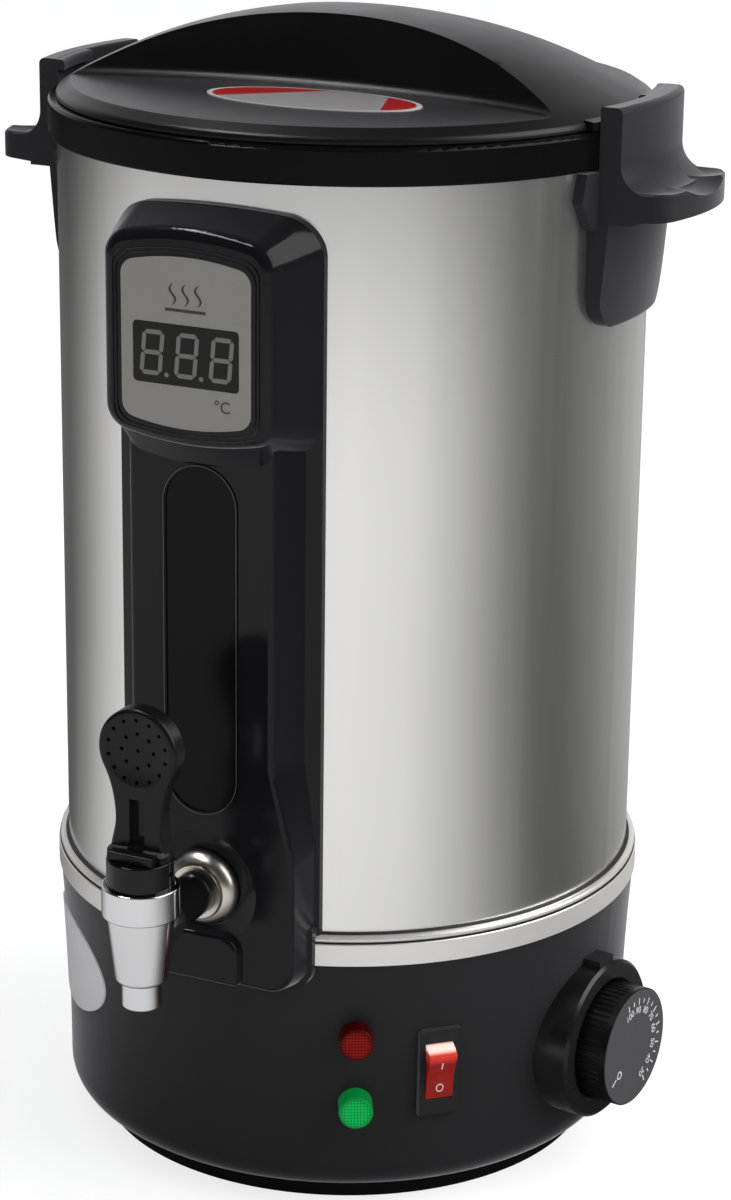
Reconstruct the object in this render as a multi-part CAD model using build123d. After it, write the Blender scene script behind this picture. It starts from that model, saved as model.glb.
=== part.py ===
from build123d import *
import math
import os

# Table-top wax melter, in millimetres. The origin is the centre of the underside, the front is -Y, up is +Z.
# An azimuth is counted in degrees from the front towards +X, so the handles stand at 90 and 270.

# ---- Driving dimensions: body ----
BARREL_R, BARREL_WALL = 98.0, 1.0      # satin steel outer barrel
POT_R, POT_WALL = 92.0, 1.0            # inner wax pot
POT_FLOOR_Z = 100.0                    # underside of the pot
FOOT_R, FOOT_TOP_Z = 86.8, 7.0         # foot pan
BASE_R, BASE_TOP_R, BASE_TOP_Z = 98.3, 100.9, 91.0
BASE_WALL, BASE_CORNER = 2.5, 9.7
RING_R, RING_TOP_Z = 101.5, 101.0      # steel ring between base and barrel
BARREL_TOP_Z = 351.0
RIM_R, RIM_LOW_Z, RIM_TOP_Z = 100.85, 345.7, 357.5
GAP = 0.05                             # radial clearance of running fits

ELEMENT_RING_R, ELEMENT_BAR_R, ELEMENT_Z = 50.0, 4.0, 91.0

# ---- Driving dimensions: lid ----
LID_R, LID_SEAT_Z = 98.0, 357.9
LID_CREST = [(0, 386.0), (22, 385.0), (44, 381.6), (66, 375.2), (80, 369.3), (88, 365.4), (94, 362.2)]
LID_FLOOR_Z = 362.5                    # floor of the two finger recesses
RIDGE_WAIST, RIDGE_END, RIDGE_END_X = 17.5, 33.0, 80.0
LUG_START, LUG_END = 73.0, 88.0        # lid lugs, unlocked
HOOK_START = 91.0                      # hooks start just past the unlocked lugs
LID_BADGE = (74.0, 36.0, 6.5, -43.5)   # length, width, centre x, centre y

# ---- Driving dimensions: handles ----
HANDLE_HALF, HANDLE_SPAN = 27.0, 16.0  # half width, half azimuth span
GUARD_IN_R, GUARD_R, GUARD_TOP_Z = 101.0, 108.0, 365.3
LEDGE_LOW_Z, LEDGE_TIP_LOW_Z, LEDGE_TOP_Z = 329.0, 331.4, 339.6
LEDGE_TIP_X, LEDGE_ARC_R = 125.0, 69.0
TONGUE_LOW_Z = 293.8

# ---- Driving dimensions: front moulding ----
FLANGE_HALF, PANEL_LOW_Z, PANEL_TOP_Z = 35.8, 82.0, 338.0
FACE_Y, HEAD_Y = -107.0, -115.6
HEAD_HALF, HEAD_LOW_Z, HEAD_TOP_Z, HEAD_CROWN = 28.5, 266.5, 332.6, 4.0
FLARE_LOW_Z, FLARE_TOP_Z = 132.0, 160.0  # the lower face widens between these heights
PLATE_HALF, PLATE_LOW_Z, PLATE_TOP_Z = 22.4, 271.0, 324.5
WINDOW_W, WINDOW_H, WINDOW_Z = 36.6, 19.0, 294.0
OVAL_W, OVAL_LOW_Z, OVAL_TOP_Z = 26.0, 141.8, 257.5

# ---- Driving dimensions: tap ----
TAP_Y, TAP_Z = -146.4, 116.0           # body axis, height of the shank
SHANK_R, FLOW_R, NECK_OUT = 7.2, 4.0, 133.4  # the neck ends this far in front of the axis
NUT_R, NUT_SEAT = 12.7, 3.0            # domed nut, and the depth of its seat behind the lower face
SPOUT_R, BORE_R, BORE_TOP_Z = 6.3, 4.6, 107.0
SPOUT_LOW_Z, CONE_LOW_Z, RING_LOW_Z, TAP_TOP_Z = 91.2, 99.6, 122.3, 132.5
BONNET_R, PLUG_LOW_Z = 10.7, 124.0
HEEL_Y, HEEL_Z = -153.6, 141.5         # the lever tips about this line
STEM_PIN_Z = 137.45
LEVER_FRONT_Y, LEVER_BACK_Y = -148.4, -142.4
LEVER_DISC_Z, LEVER_DISC_R = 176.6, 13.7

# ---- Driving dimensions: controls on the base (azimuth, height) ----
LAMP_AZ, LAMP_RED_Z, LAMP_GREEN_Z, LENS_R, LENS_TIP = 28.0, 65.0, 40.5, 5.65, 106.3
SWITCH_AZ, SWITCH_Z, BEZEL_W, BEZEL_H = 44.0, 51.0, 14.0, 31.0
ROCKER_R, ROCKER_PIVOT = 10.0, 97.8    # sector radius, distance of the pivot from the axis
ROCKER_RAISED, ROCKER_PRESSED = 46.0, 16.0
KNOB_AZ, KNOB_Z, KNOB_R, KNOB_FACE, KNOB_BACK = 82.0, 46.3, 20.4, 118.0, 102.0
KNOB_BEZEL_R, KNOB_BEZEL_IN, KNOB_BEZEL_FACE = 27.5, 21.6, 107.5
THERMOSTAT_SEAT, SHAFT_TIP = 98.0, 112.8  # screw heads hidden behind the knob, end of the shaft inside it
INLET_AZ, INLET_Z, INLET_FACE = 180.0, 45.0, 103.5
BADGE = (71.0, 34.6, -50.0, 60.7)      # length, height, azimuth, centre height of the oval plate


# ---- Shared helpers ----
def around(azimuth, radius, height=0.0):
    """Point at an azimuth, a distance from the upright axis and a height."""
    turn = math.radians(azimuth)
    return Vector(radius * math.sin(turn), -radius * math.cos(turn), height)


def outward(azimuth, height, radius=0.0):
    """Plane that faces straight out of the body: x is level, y is up, z leads outwards."""
    out = around(azimuth, 1.0)
    return Plane(origin=around(azimuth, radius, height), x_dir=Vector(-out.Y, out.X, 0), z_dir=out)


def section(*corners, radius=0):
    """Closed (radius, height) outline in the plane of azimuth 90."""
    edges = FilletPolyline(*corners, radius=radius, close=True) if radius else Polyline(*corners, close=True)
    return make_face(Plane.XZ * edges)


def turned(face):
    return revolve(face, Axis.Z)


def sector(face, start, end):
    """Revolve an outline from one azimuth to another."""
    return revolve(Rot(0, 0, start - 90) * face, Axis.Z, revolution_arc=end - start)


def rod(plane, radius, start, end, x=0.0, y=0.0):
    """Round bar along a plane's normal, between two distances."""
    return extrude(plane.offset(start) * Pos(x, y) * Circle(radius), amount=end - start)


def block(plane, width, height, start, end, x=0.0, y=0.0):
    return extrude(plane.offset(start) * Pos(x, y) * Rectangle(width, height), amount=end - start)


def tube(plane, outer, inner, start, end, x=0.0, y=0.0):
    return rod(plane, outer, start, end, x, y) - rod(plane, inner, start, end, x, y)


def drum(radius, low, high):
    return rod(Plane.XY, radius, low, high)


def joined(solids):
    """Separate solids that share one node."""
    return Compound(children=[solid for item in solids for solid in item.solids()])


def crowned(half, low, high, crown, corner):
    """Upright rectangle with bowed top and bottom edges, drawn in x and z."""
    top, bottom = high - crown, low + crown
    edges = [Line((half, bottom), (half, top)), ThreePointArc((half, top), (0, high), (-half, top)),
             Line((-half, top), (-half, bottom)), ThreePointArc((-half, bottom), (0, low), (half, bottom))]
    face = make_face(edges)
    return fillet(face.vertices(), corner)


def front(y):
    """Upright plane that faces the front at a given y: local x is +X, local y is +Z."""
    return Plane(origin=(0, y, 0), x_dir=(1, 0, 0), z_dir=(0, -1, 0))


# ---- Base ----
def base_form():
    """Solid with the base's outer surface, used to seat everything that stands on it."""
    start, bend_z, flare_z = BASE_R - BASE_CORNER, FOOT_TOP_Z + BASE_CORNER, 20.0
    edges = [Line((0, FOOT_TOP_Z), (start, FOOT_TOP_Z)),
             TangentArc((start, FOOT_TOP_Z), (BASE_R, bend_z), tangent=(1, 0)),
             Line((BASE_R, bend_z), (BASE_R, flare_z)),
             TangentArc((BASE_R, flare_z), (BASE_TOP_R, BASE_TOP_Z), tangent=(0, 1)),
             Line((BASE_TOP_R, BASE_TOP_Z), (0, BASE_TOP_Z)), Line((0, BASE_TOP_Z), (0, FOOT_TOP_Z))]
    return turned(make_face(Plane.XZ * Curve(edges)))


def base_cavity():
    low, high, wall_r = 10.0, 88.0, BASE_R - BASE_WALL
    edges = [Line((0, low), (92, low)), Line((92, low), (wall_r, 14)), Line((wall_r, 14), (wall_r, 20)),
             TangentArc((wall_r, 20), (wall_r + 2.4, high), tangent=(0, 1)),
             Line((wall_r + 2.4, high), (0, high)), Line((0, high), (0, low))]
    return turned(make_face(Plane.XZ * Curve(edges)))


def foot_screw_places():
    return [around(azimuth, 79.0) for azimuth in (45, 135, 225, 315)]


def base_shell(form):
    shell = form - base_cavity() - drum(84, 87, 92) - drum(74, 6, 11)
    inlet = outward(INLET_AZ, INLET_Z)
    pad = block(inlet, 56, 32, 88, 100.5) - block(inlet, 50, 27, 80, 97.5)
    shell += fillet(pad.edges().filter_by(Axis.Y), 5)
    thermostat = outward(KNOB_AZ, KNOB_Z)
    for side in (-14, 14):
        shell += rod(thermostat, 4, 87.2, 97.5, y=side)
    for point in foot_screw_places():
        shell -= Pos(point) * drum(1.65, 6, 11)
    for height in (LAMP_RED_Z, LAMP_GREEN_Z):
        shell -= rod(outward(LAMP_AZ, height), 5.0, 85, 105)
    shell -= block(outward(SWITCH_AZ, SWITCH_Z), 12.0, 28.0, 85, 105)
    shell -= rod(thermostat, 4.7, 90, 105)
    for side in (-14, 14):
        shell -= rod(thermostat, 1.75, 80, 105, y=side) + rod(thermostat, 3.7, THERMOSTAT_SEAT, 105, y=side)
    shell -= block(inlet, 28.0, 20.6, 85, 105)
    for side in (-20, 20):
        shell -= rod(inlet, 1.75, 85, 105, x=side)
    return shell


def foot_pan():
    """Flat pan with a tapered wall, a locating lip, screw posts and a ring of air slots."""
    pan = turned(section((0, 0), (FOOT_R, 0), (88.2, FOOT_TOP_Z), (84.8, FOOT_TOP_Z), (84.8, 2.5), (0, 2.5)))
    pan += turned(section((70.5, 2.5), (73.6, 2.5), (73.6, 9), (70.5, 9)))
    slot = Rot(0, 0, 15) * Pos(52, 0, 0) * extrude(SlotOverall(22, 3), amount=3)
    for index in range(12):
        pan -= Rot(0, 0, 30 * index) * slot
    for point in foot_screw_places():
        pan += Pos(point) * drum(5.2, 2.5, FOOT_TOP_Z)
        pan -= Pos(point) * drum(4.0, 0, 3)
        pan -= Pos(point) * drum(1.8, 0, FOOT_TOP_Z)
    return pan


def foot_screws():
    screw = drum(3.6, 0.9, 3.0) - block(Plane.XY, 4.6, 0.9, 0.8, 1.8) - block(Plane.XY, 0.9, 4.6, 0.8, 1.8)
    screw += drum(1.6, 3.0, 13)
    return joined([Pos(point) * screw for point in foot_screw_places()])


def trim_ring():
    """Bright band with a rounded bead above a fine groove."""
    inner = BARREL_R + GAP
    edges = [Line((inner, 91), (RING_R, 91)), Line((RING_R, 91), (RING_R, 98.2)),
             Line((RING_R, 98.2), (RING_R - 0.3, 98.5)), Line((RING_R - 0.3, 98.5), (100.0, 98.7)),
             ThreePointArc((100.0, 98.7), (101.0, 99.7), (100.0, RING_TOP_Z)),
             Line((100.0, RING_TOP_Z), (inner, RING_TOP_Z)), Line((inner, RING_TOP_Z), (inner, 91))]
    return turned(make_face(Plane.XZ * Curve(edges)))


def on_base(form, plane, outline, thickness):
    """Thin plate with the base's own curve, cut to a flat outline seen along the plane's normal."""
    skin = scale(form, (1 + thickness / BASE_R, 1 + thickness / BASE_R, 1)) - form
    return skin & extrude(plane.offset(60) * outline, amount=50)


def base_badge_plate(form):
    length, height, azimuth, middle = BADGE
    flat = 2 * BASE_R * math.sin(length / (2 * BASE_R))
    return on_base(form, outward(azimuth, middle), Ellipse(flat / 2, height / 2), 0.6)


# ---- Vessel ----
def barrel():
    shell = tube(Plane.XY, BARREL_R, BARREL_R - BARREL_WALL, BASE_TOP_Z, BARREL_TOP_Z)
    shell -= rod(front(0), 8.0, 90, 100, y=TAP_Z)
    shell -= block(front(0), 26, 12, 90, 100, y=WINDOW_Z)
    for azimuth, height in handle_screw_places() + panel_screw_places():
        shell -= rod(outward(azimuth, height), 2.0, 90, 100)
    return shell


def inner_pot():
    """Deep-drawn pot with a rounded floor and a rolled flange over the barrel's edge."""
    inner = POT_R - POT_WALL
    outline = [(0, POT_FLOOR_Z), (POT_R, POT_FLOOR_Z), (POT_R, 351), (97.9, 351), (97.9, 352), (inner, 352),
               (inner, POT_FLOOR_Z + POT_WALL), (0, POT_FLOOR_Z + POT_WALL)]
    pot = turned(section(*outline, radius=[0, 6, 0, 0, 0, 0, 5, 0]))
    return pot - rod(front(0), 7.4, 80, 100, y=TAP_Z)


def insulation_sleeve():
    """Felt wrap between pot and barrel, open at the front for the tap and the display leads."""
    return sector(section((POT_R + 0.3, 112), (94.5, 112), (94.5, 344), (POT_R + 0.3, 344)), 22, 338)


def top_rim():
    """Moulded cap over the edges of barrel and pot."""
    outline = [(94.5, 352), (96.5, 352), (96.5, 355), (98.1, 355), (98.1, RIM_LOW_Z), (RIM_R, RIM_LOW_Z),
               (RIM_R, RIM_TOP_Z), (94.5, RIM_TOP_Z)]
    return turned(section(*outline, radius=[0, 0, 0, 0, 0, 0.6, 1.2, 0.4]))


def lid_seal():
    return turned(section((91.6, 352), (94.2, 352), (94.2, 354.2), (93.4, 355.6), (92.2, 355.6), (91.6, 354.2)))


# ---- Lid ----
def lid_crown():
    """Domed disc with a rounded outer edge."""
    brow, edge, foot = (96.9, 360.4), (97.7, 359.6), (LID_R, 358.6)
    edges = [Spline(*LID_CREST, tangents=[(1, 0), (1, -0.6)]), Line(LID_CREST[-1], brow),
             ThreePointArc(brow, edge, foot), Line(foot, (LID_R, LID_SEAT_Z)),
             Line((LID_R, LID_SEAT_Z), (0, LID_SEAT_Z)), Line((0, LID_SEAT_Z), LID_CREST[0])]
    return turned(make_face(Plane.XZ * Curve(edges)))


def finger_recess():
    """Round-backed cutter with a drafted wall: it leaves the waisted ridge behind it."""
    depth = RIDGE_END - RIDGE_WAIST
    arc_r = (RIDGE_END_X ** 2 + depth ** 2) / (2 * depth)
    height, draft = 30.0, 8.0
    top_r = arc_r + height * math.tan(math.radians(draft))
    cutter = Pos(0, -RIDGE_WAIST - arc_r, LID_FLOOR_Z + height / 2) * Cone(arc_r, top_r, height)
    return fillet(cutter.edges().sort_by(Axis.Z)[0], 4.0)


def lid_shell():
    shell = lid_crown()
    recess = finger_recess()
    shell -= recess
    shell -= Rot(0, 0, 180) * recess
    length, width, x, y = LID_BADGE
    shell -= Pos(x, y, LID_FLOOR_Z - 0.4) * extrude(Ellipse(length / 2 + 0.2, width / 2 + 0.2), amount=2)
    for turn in (0, 180):
        lug = sector(section((96.5, LID_SEAT_Z), (100.6, LID_SEAT_Z), (100.6, 360.6), (96.5, 361.0)),
                     LUG_START, LUG_END)
        shell += Rot(0, 0, turn) * lug
    shell += turned(section((88, 353.2), (90.2, 353.2), (90.2, LID_SEAT_Z), (88, LID_SEAT_Z)))
    shell += turned(section((90.2, 355.6), (94.2, 355.6), (94.2, LID_SEAT_Z), (90.2, LID_SEAT_Z)))
    shell -= turned(section((0, LID_SEAT_Z), (84, LID_SEAT_Z), (82, 359.6), (0, 359.6)))
    for azimuth in lid_screw_places():
        shell += Pos(around(azimuth, 60)) * drum(3.5, 354.1, 360)
        shell -= Pos(around(azimuth, 60)) * drum(1.45, 354.0, 359)
    return shell


def lid_screw_places():
    return (30, 150, 270)


def lid_liner():
    """Dished steel plate that closes the underside of the lid."""
    outline = [(0, 353.2), (70, 353.2), (76, 351.2), (87.8, 351.2), (87.8, 357.8), (87.0, 357.8), (87.0, 352.0),
               (76.4, 352.0), (70.2, 354.0), (0, 354.0)]
    liner = turned(section(*outline))
    for azimuth in lid_screw_places():
        liner -= Pos(around(azimuth, 60)) * drum(1.7, 353, 355)
    return liner


def lid_screws():
    screw = drum(3.0, 351.4, 353.2) + drum(1.4, 353.2, 358.8)
    screw -= block(Plane.XY, 4.0, 0.8, 351.3, 352.1)
    return joined([Pos(around(azimuth, 60)) * screw for azimuth in lid_screw_places()])


def lid_badge_plate():
    length, width, x, y = LID_BADGE
    return Pos(x, y, LID_FLOOR_Z - 0.4) * extrude(Ellipse(length / 2, width / 2), amount=0.7)


# ---- Handles ----
def handle_screw_places():
    right = [(84, 334.5), (96, 334.5), (90, 307)]
    return right + [(azimuth + 180, height) for azimuth, height in right]


def ledge_outline():
    """Plan of the finger ledge: a shallow arc at the tip with rounded corners."""
    half, centre = HANDLE_HALF, LEDGE_TIP_X - LEDGE_ARC_R
    reach = centre + math.sqrt(LEDGE_ARC_R ** 2 - half ** 2)
    edges = [Line((95, -half), (reach, -half)), ThreePointArc((reach, -half), (LEDGE_TIP_X, 0), (reach, half)),
             Line((reach, half), (95, half)), Line((95, half), (95, -half))]
    return fillet(make_face(edges).vertices().sort_by(Axis.X)[-2:], 6)


def handle_ledge():
    """Ledge with a rising underside, a dip in the middle of its tip and a finger dish at each end."""
    side = [(95, LEDGE_LOW_Z), (127, LEDGE_TIP_LOW_Z), (127, LEDGE_TOP_Z), (95, LEDGE_TOP_Z)]
    ledge = extrude(Pos(0, 0, LEDGE_LOW_Z) * ledge_outline(), amount=LEDGE_TOP_Z - LEDGE_LOW_Z)
    ledge &= extrude(Plane.XZ * make_face(Polyline(*side, close=True)), amount=40, both=True)
    ledge = chamfer(ledge.edges().group_by(Axis.Z)[-1], 0.8)
    dip_r, dip_start, dip_slope, dish_r, dish_depth = 48.0, 110.0, 9.5, 36.0, 1.0
    dip = Pos(dip_start, 0, LEDGE_TOP_Z + dip_r) * Rot(0, 90 + dip_slope, 0) * Cylinder(dip_r, 50)
    ledge -= dip
    for y in (-18, 18):
        ledge -= Pos(114, y, LEDGE_TOP_Z + dish_r - dish_depth) * Sphere(dish_r)
    return ledge


def handle_cove(start, end):
    """Concave fillet between guard and ledge."""
    radius, low = 9.0, LEDGE_TOP_Z - 0.9
    centre_x, centre_z, bend = GUARD_R + radius, low + radius, radius * math.sin(math.pi / 4)
    arc = ThreePointArc((centre_x, low), (centre_x - bend, centre_z - bend), (GUARD_R, centre_z))
    edges = [Line((GUARD_R - 1, low), (centre_x, low)), arc, Line((GUARD_R, centre_z), (GUARD_R - 1, centre_z)),
             Line((GUARD_R - 1, centre_z), (GUARD_R - 1, low))]
    return sector(make_face(Plane.XZ * Curve(edges)), start, end)


def handle():
    """Right-hand handle: heat guard, finger ledge, and a tongue down the barrel."""
    start, end = 90 - HANDLE_SPAN, 90 + HANDLE_SPAN
    skin, collar_top = BARREL_R + GAP, 344.9
    width = extrude(Plane.YZ.offset(90) * Pos(0, 330) * Rectangle(2 * HANDLE_HALF, 90), amount=45)
    guard = sector(section((skin, 329), (GUARD_R, 329), (GUARD_R, GUARD_TOP_Z), (GUARD_IN_R, GUARD_TOP_Z),
                           (GUARD_IN_R, collar_top), (skin, collar_top), radius=[0, 0, 2.0, 0.8, 0, 0]), start, end)
    body = guard + handle_ledge() + handle_cove(start, end)
    tongue = sector(section((skin, TONGUE_LOW_Z), (101.8, TONGUE_LOW_Z), (103.4, 311), (104.8, LEDGE_LOW_Z),
                            (112.0, LEDGE_LOW_Z), (112.0, 332), (skin, 332), radius=[0, 1.6, 12, 0, 0, 0, 0]),
                    start, end)
    ends = [(-HANDLE_HALF, 345), (-HANDLE_HALF, TONGUE_LOW_Z), (HANDLE_HALF, TONGUE_LOW_Z), (HANDLE_HALF, 345)]
    outline = make_face(Polyline(*ends, close=True))
    outline = fillet(outline.vertices().sort_by(Axis.Y)[:2], 12)
    body += tongue & extrude(Plane.YZ.offset(90) * outline, amount=45)
    hook_low, hook_top = 361.7, GUARD_TOP_Z - 0.1
    hook = sector(section((98.5, hook_low), (GUARD_IN_R + 1, hook_low), (GUARD_IN_R + 1, hook_top),
                          (98.5, hook_top), radius=[0.3, 0, 0, 1.4]), HOOK_START, end)
    body = (body + hook) & width
    ear_reach = sector(section((skin, 320), (101.2, 320), (101.2, collar_top), (skin, collar_top)), 66, 114)
    for side in (-1, 1):
        corners = [(side * 26, 345), (side * 32.5, 345), (side * 34.3, 336), (side * 30.0, 327), (side * 26, 327)]
        body += extrude(Plane.YZ.offset(90) * make_face(Polyline(*corners, close=True)), amount=12) & ear_reach
    body -= drum(skin, 290, collar_top)
    for azimuth, height in handle_screw_places()[:3]:
        body -= rod(outward(azimuth, height), 1.5, 95, 106 if height > 320 else 100.5)
    return body


def handle_screws():
    """Screws driven outwards from between barrel and pot."""
    screws = []
    seat = BARREL_R - BARREL_WALL - GAP
    for azimuth, height in handle_screw_places():
        axis = outward(azimuth, height)
        tip = 105.5 if height > 320 else 100.2
        screws.append(rod(axis, 3.2, seat - 1.9, seat) + rod(axis, 1.45, seat, tip))
    return joined(screws)


# ---- Front moulding ----
def panel_screw_places():
    return [(-14, 255), (14, 255), (-14, 140), (14, 140)]


def body_wire(y, top_half, low_half, low_z, corner):
    """Outline of the lower body, which widens near its foot."""
    top_z = HEAD_LOW_Z
    points = [(low_half, low_z), (low_half, FLARE_LOW_Z), (top_half, FLARE_TOP_Z), (top_half, top_z),
              (-top_half, top_z), (-top_half, FLARE_TOP_Z), (-low_half, FLARE_LOW_Z), (-low_half, low_z)]
    radii = [corner, 25, 25, 2, 2, 25, 25, corner]
    return front(y) * make_face(FilletPolyline(*points, radius=radii, close=True))


def panel_head():
    """Display head with a rounded front edge, and the concave sweep below it."""
    head = loft([front(-90) * crowned(37, 256, 341, 4.5, 14),
                 front(HEAD_Y) * crowned(HEAD_HALF, HEAD_LOW_Z, HEAD_TOP_Z, HEAD_CROWN, 8)], ruled=True)
    head = fillet(head.faces().sort_by(Axis.Y)[0].edges(), 4.0)
    sweep_steps = [(-104, 25.0, 252.0), (-107.5, 25.6, 258.5), (-109.7, 26.8, 262.2), (-111.9, 28.2, 265.4)]
    return head + loft([front(y) * crowned(half, low, 300, 3.5, 6) for y, half, low in sweep_steps])


def panel_apron():
    """Raised block under the tap."""
    outline = FilletPolyline((-15.6, 83), (15.6, 83), (15.6, 103), (-15.6, 103), radius=[3, 3, 8, 8], close=True)
    apron = extrude(front(-98) * make_face(outline), amount=-FACE_Y - 98 + 2.8, taper=8)
    return fillet(apron.faces().sort_by(Axis.Y)[0].edges(), 1.5)


def front_panel(form):
    outline = extrude(front(0) * crowned(FLANGE_HALF, PANEL_LOW_Z, PANEL_TOP_Z, 3.5, 13), amount=130)
    lower = loft([body_wire(-90, 33.5, 35.2, PANEL_LOW_Z, 10), body_wire(FACE_Y, 25, 32.5, 84, 9)], ruled=True)
    lower = fillet(lower.faces().sort_by(Axis.Y)[0].edges().filter_by(lambda e: e.center().Z < 255), 2.0)
    flange = tube(Plane.XY, BARREL_R + 2.2, BARREL_R - 5, 60, 345)
    skirt = tube(Plane.XY, RING_R + 2.0, BARREL_R - 5, 60, 104)
    skirt &= extrude(front(0) * crowned(FLANGE_HALF - 0.6, PANEL_LOW_Z, 160, 1, 8), amount=130)
    panel = lower + ((panel_head() + flange) & outline) + skirt
    hollow_r, hollow_depth = 62.0, 3.2
    panel -= Pos(0, FACE_Y + hollow_depth - hollow_r, TAP_Z) * Sphere(hollow_r)
    panel -= rod(front(0), NUT_R + 0.8, -FACE_Y - NUT_SEAT, 120, y=TAP_Z)
    panel += panel_apron()
    panel -= panel_hollow()
    panel -= drum(BARREL_R + GAP, 60, 345) + form + turned(section((90, 90), (RING_R + GAP, 90),
                                                                   (RING_R + GAP, RING_TOP_Z + 0.1), (90, 101.1)))
    panel -= rod(front(0), SHANK_R + 0.2, 90, 110, y=TAP_Z)
    plate = crowned(PLATE_HALF + 0.1, PLATE_LOW_Z - 0.1, PLATE_TOP_Z + 0.1, 3, 5)
    panel -= extrude(front(HEAD_Y + 1.0) * plate, amount=5)
    for offset in (1.4, 2.6):
        outer = crowned(PLATE_HALF + offset + 0.5, PLATE_LOW_Z - offset - 0.5, PLATE_TOP_Z + offset + 0.5, 3, 6)
        inner = crowned(PLATE_HALF + offset, PLATE_LOW_Z - offset, PLATE_TOP_Z + offset, 3, 6)
        panel -= extrude(front(HEAD_Y + 0.5) * outer, amount=3) - extrude(front(HEAD_Y + 0.5) * inner, amount=3)
    panel -= block(front(0), WINDOW_W + 3.2, WINDOW_H + 3.2, 100, 120, y=WINDOW_Z)
    panel -= extrude(front(FACE_Y + 1.5) * oval(0.15), amount=5)
    for azimuth, height in panel_screw_places():
        panel -= rod(outward(azimuth, height), 1.5, 95, 100.2)
    return panel


def panel_hollow():
    """Space behind the display and behind the oval inlay."""
    display = block(front(0), 44, 50, 90, -HEAD_Y - 3.5, y=298)
    lower = extrude(front(-90) * make_face(FilletPolyline(
        (-19, 142), (19, 142), (19, 260), (-19, 260), radius=6, close=True)), amount=-FACE_Y - 90 - 4.0)
    return display + lower


def oval(grow):
    middle = (OVAL_LOW_Z + OVAL_TOP_Z) / 2
    height = OVAL_TOP_Z - OVAL_LOW_Z
    return Pos(0, middle) * Rot(0, 0, 90) * SlotOverall(height + 2 * grow, OVAL_W + 2 * grow)


def oval_inlay():
    """Oval cover with a fine raised edge."""
    plate = extrude(front(FACE_Y + 1.5) * oval(0), amount=1.6)
    return plate + extrude(front(FACE_Y) * oval(0), amount=0.6) - extrude(front(FACE_Y - 0.1) * oval(-0.9), amount=3)


def panel_screws():
    screws = []
    seat = BARREL_R - BARREL_WALL - GAP
    for azimuth, height in panel_screw_places():
        axis = outward(azimuth, height)
        screws.append(rod(axis, 3.0, seat - 1.8, seat) + rod(axis, 1.45, seat, 100.1))
    return joined(screws)


def display_plate():
    plate = extrude(front(HEAD_Y + 1.0) * crowned(PLATE_HALF, PLATE_LOW_Z, PLATE_TOP_Z, 3, 5), amount=1.2)
    return plate - extrude(front(-100) * window_outline(0.1), amount=20)


def window_outline(grow):
    return Pos(0, WINDOW_Z) * RectangleRounded(WINDOW_W + 2 * grow, WINDOW_H + 2 * grow, 1.4 + grow)


def display_window():
    """Smoked window with a stepped edge behind the plate."""
    step, back = -HEAD_Y - 1.1, -HEAD_Y - 3.4
    pane = extrude(front(-step) * window_outline(0), amount=1.1)
    return pane + block(front(0), WINDOW_W + 3.0, WINDOW_H + 3.0, back, step, y=WINDOW_Z)


def display_board():
    """Digit module on its circuit board."""
    digits_front = -HEAD_Y - 3.6
    digits_back = digits_front - 7.4
    board = block(front(0), 42, 38, digits_back - 1.6, digits_back, y=WINDOW_Z)
    board += block(front(0), 37.6, 19, digits_back, digits_front, y=WINDOW_Z)
    for side in (-17, 17):
        board += rod(front(0), 2.5, 98.2, digits_back - 1.6, x=side, y=WINDOW_Z - 15)
    return board


# ---- Heating and controls inside the base ----
def heater_plate():
    top = POT_FLOOR_Z
    return turned(section((6, top - 5), (70, top - 5), (74, top - 2.5), (74, top), (6, top)))


def heating_element():
    """Open ring of sheathed element with two cold ends turned down at the back."""
    bar = Plane.XZ * Pos(ELEMENT_RING_R, ELEMENT_Z) * Circle(ELEMENT_BAR_R)
    loop = revolve(Rot(0, 0, 102) * bar, Axis.Z, revolution_arc=336)
    for azimuth in (168, 192):
        loop += Pos(around(azimuth, ELEMENT_RING_R)) * drum(ELEMENT_BAR_R, ELEMENT_Z - 20, ELEMENT_Z)
    return loop


def heater_clamp():
    """Cross strap pulled up against the element by a nut on the pot's centre stud."""
    top = ELEMENT_Z - ELEMENT_BAR_R
    strap = block(Plane.XY, 112, 14, top - 1.8, top) - drum(3.2, top - 5, top + 5)
    stud = drum(3.0, top - 10, POT_FLOOR_Z)
    nut = extrude(Plane.XY.offset(top - 7) * RegularPolygon(5.8, 6), amount=5.2) - drum(3.0, top - 10, top)
    return joined([strap, stud, nut])


def thermal_cutout():
    """Disc thermostat with a foot plate and two tabs, under the heater plate."""
    top = POT_FLOOR_Z - 5
    cap = Pos(0, 28, 0) * (drum(8, top - 7.5, top) + block(Plane.XY, 24, 7, top - 1.2, top))
    for side in (-4, 4):
        cap += Pos(side, 28, 0) * drum(1.5, top - 16, top - 7)
    return cap


def temperature_probe():
    top = POT_FLOOR_Z - 5
    return Pos(0, -28, 0) * (drum(3.5, top - 10, top) + block(Plane.XY, 20, 6, top - 1.2, top))


def terminal_block():
    body = Pos(0, 52, 0) * extrude(Plane.XY.offset(2.5) * Rectangle(48, 15), amount=14)
    for index in range(4):
        body -= Pos(-18 + 12 * index, 52, 0) * drum(2.6, 10, 20)
    return body


def lamp_holders():
    lamps = []
    for height in (LAMP_RED_Z, LAMP_GREEN_Z):
        axis = outward(LAMP_AZ, height)
        lamps.append(rod(axis, 4.95, 74, 98.2) + rod(axis, 6.8, 90, 92.6) + rod(axis, 2.5, 98.2, 103))
    return joined(lamps)


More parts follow.
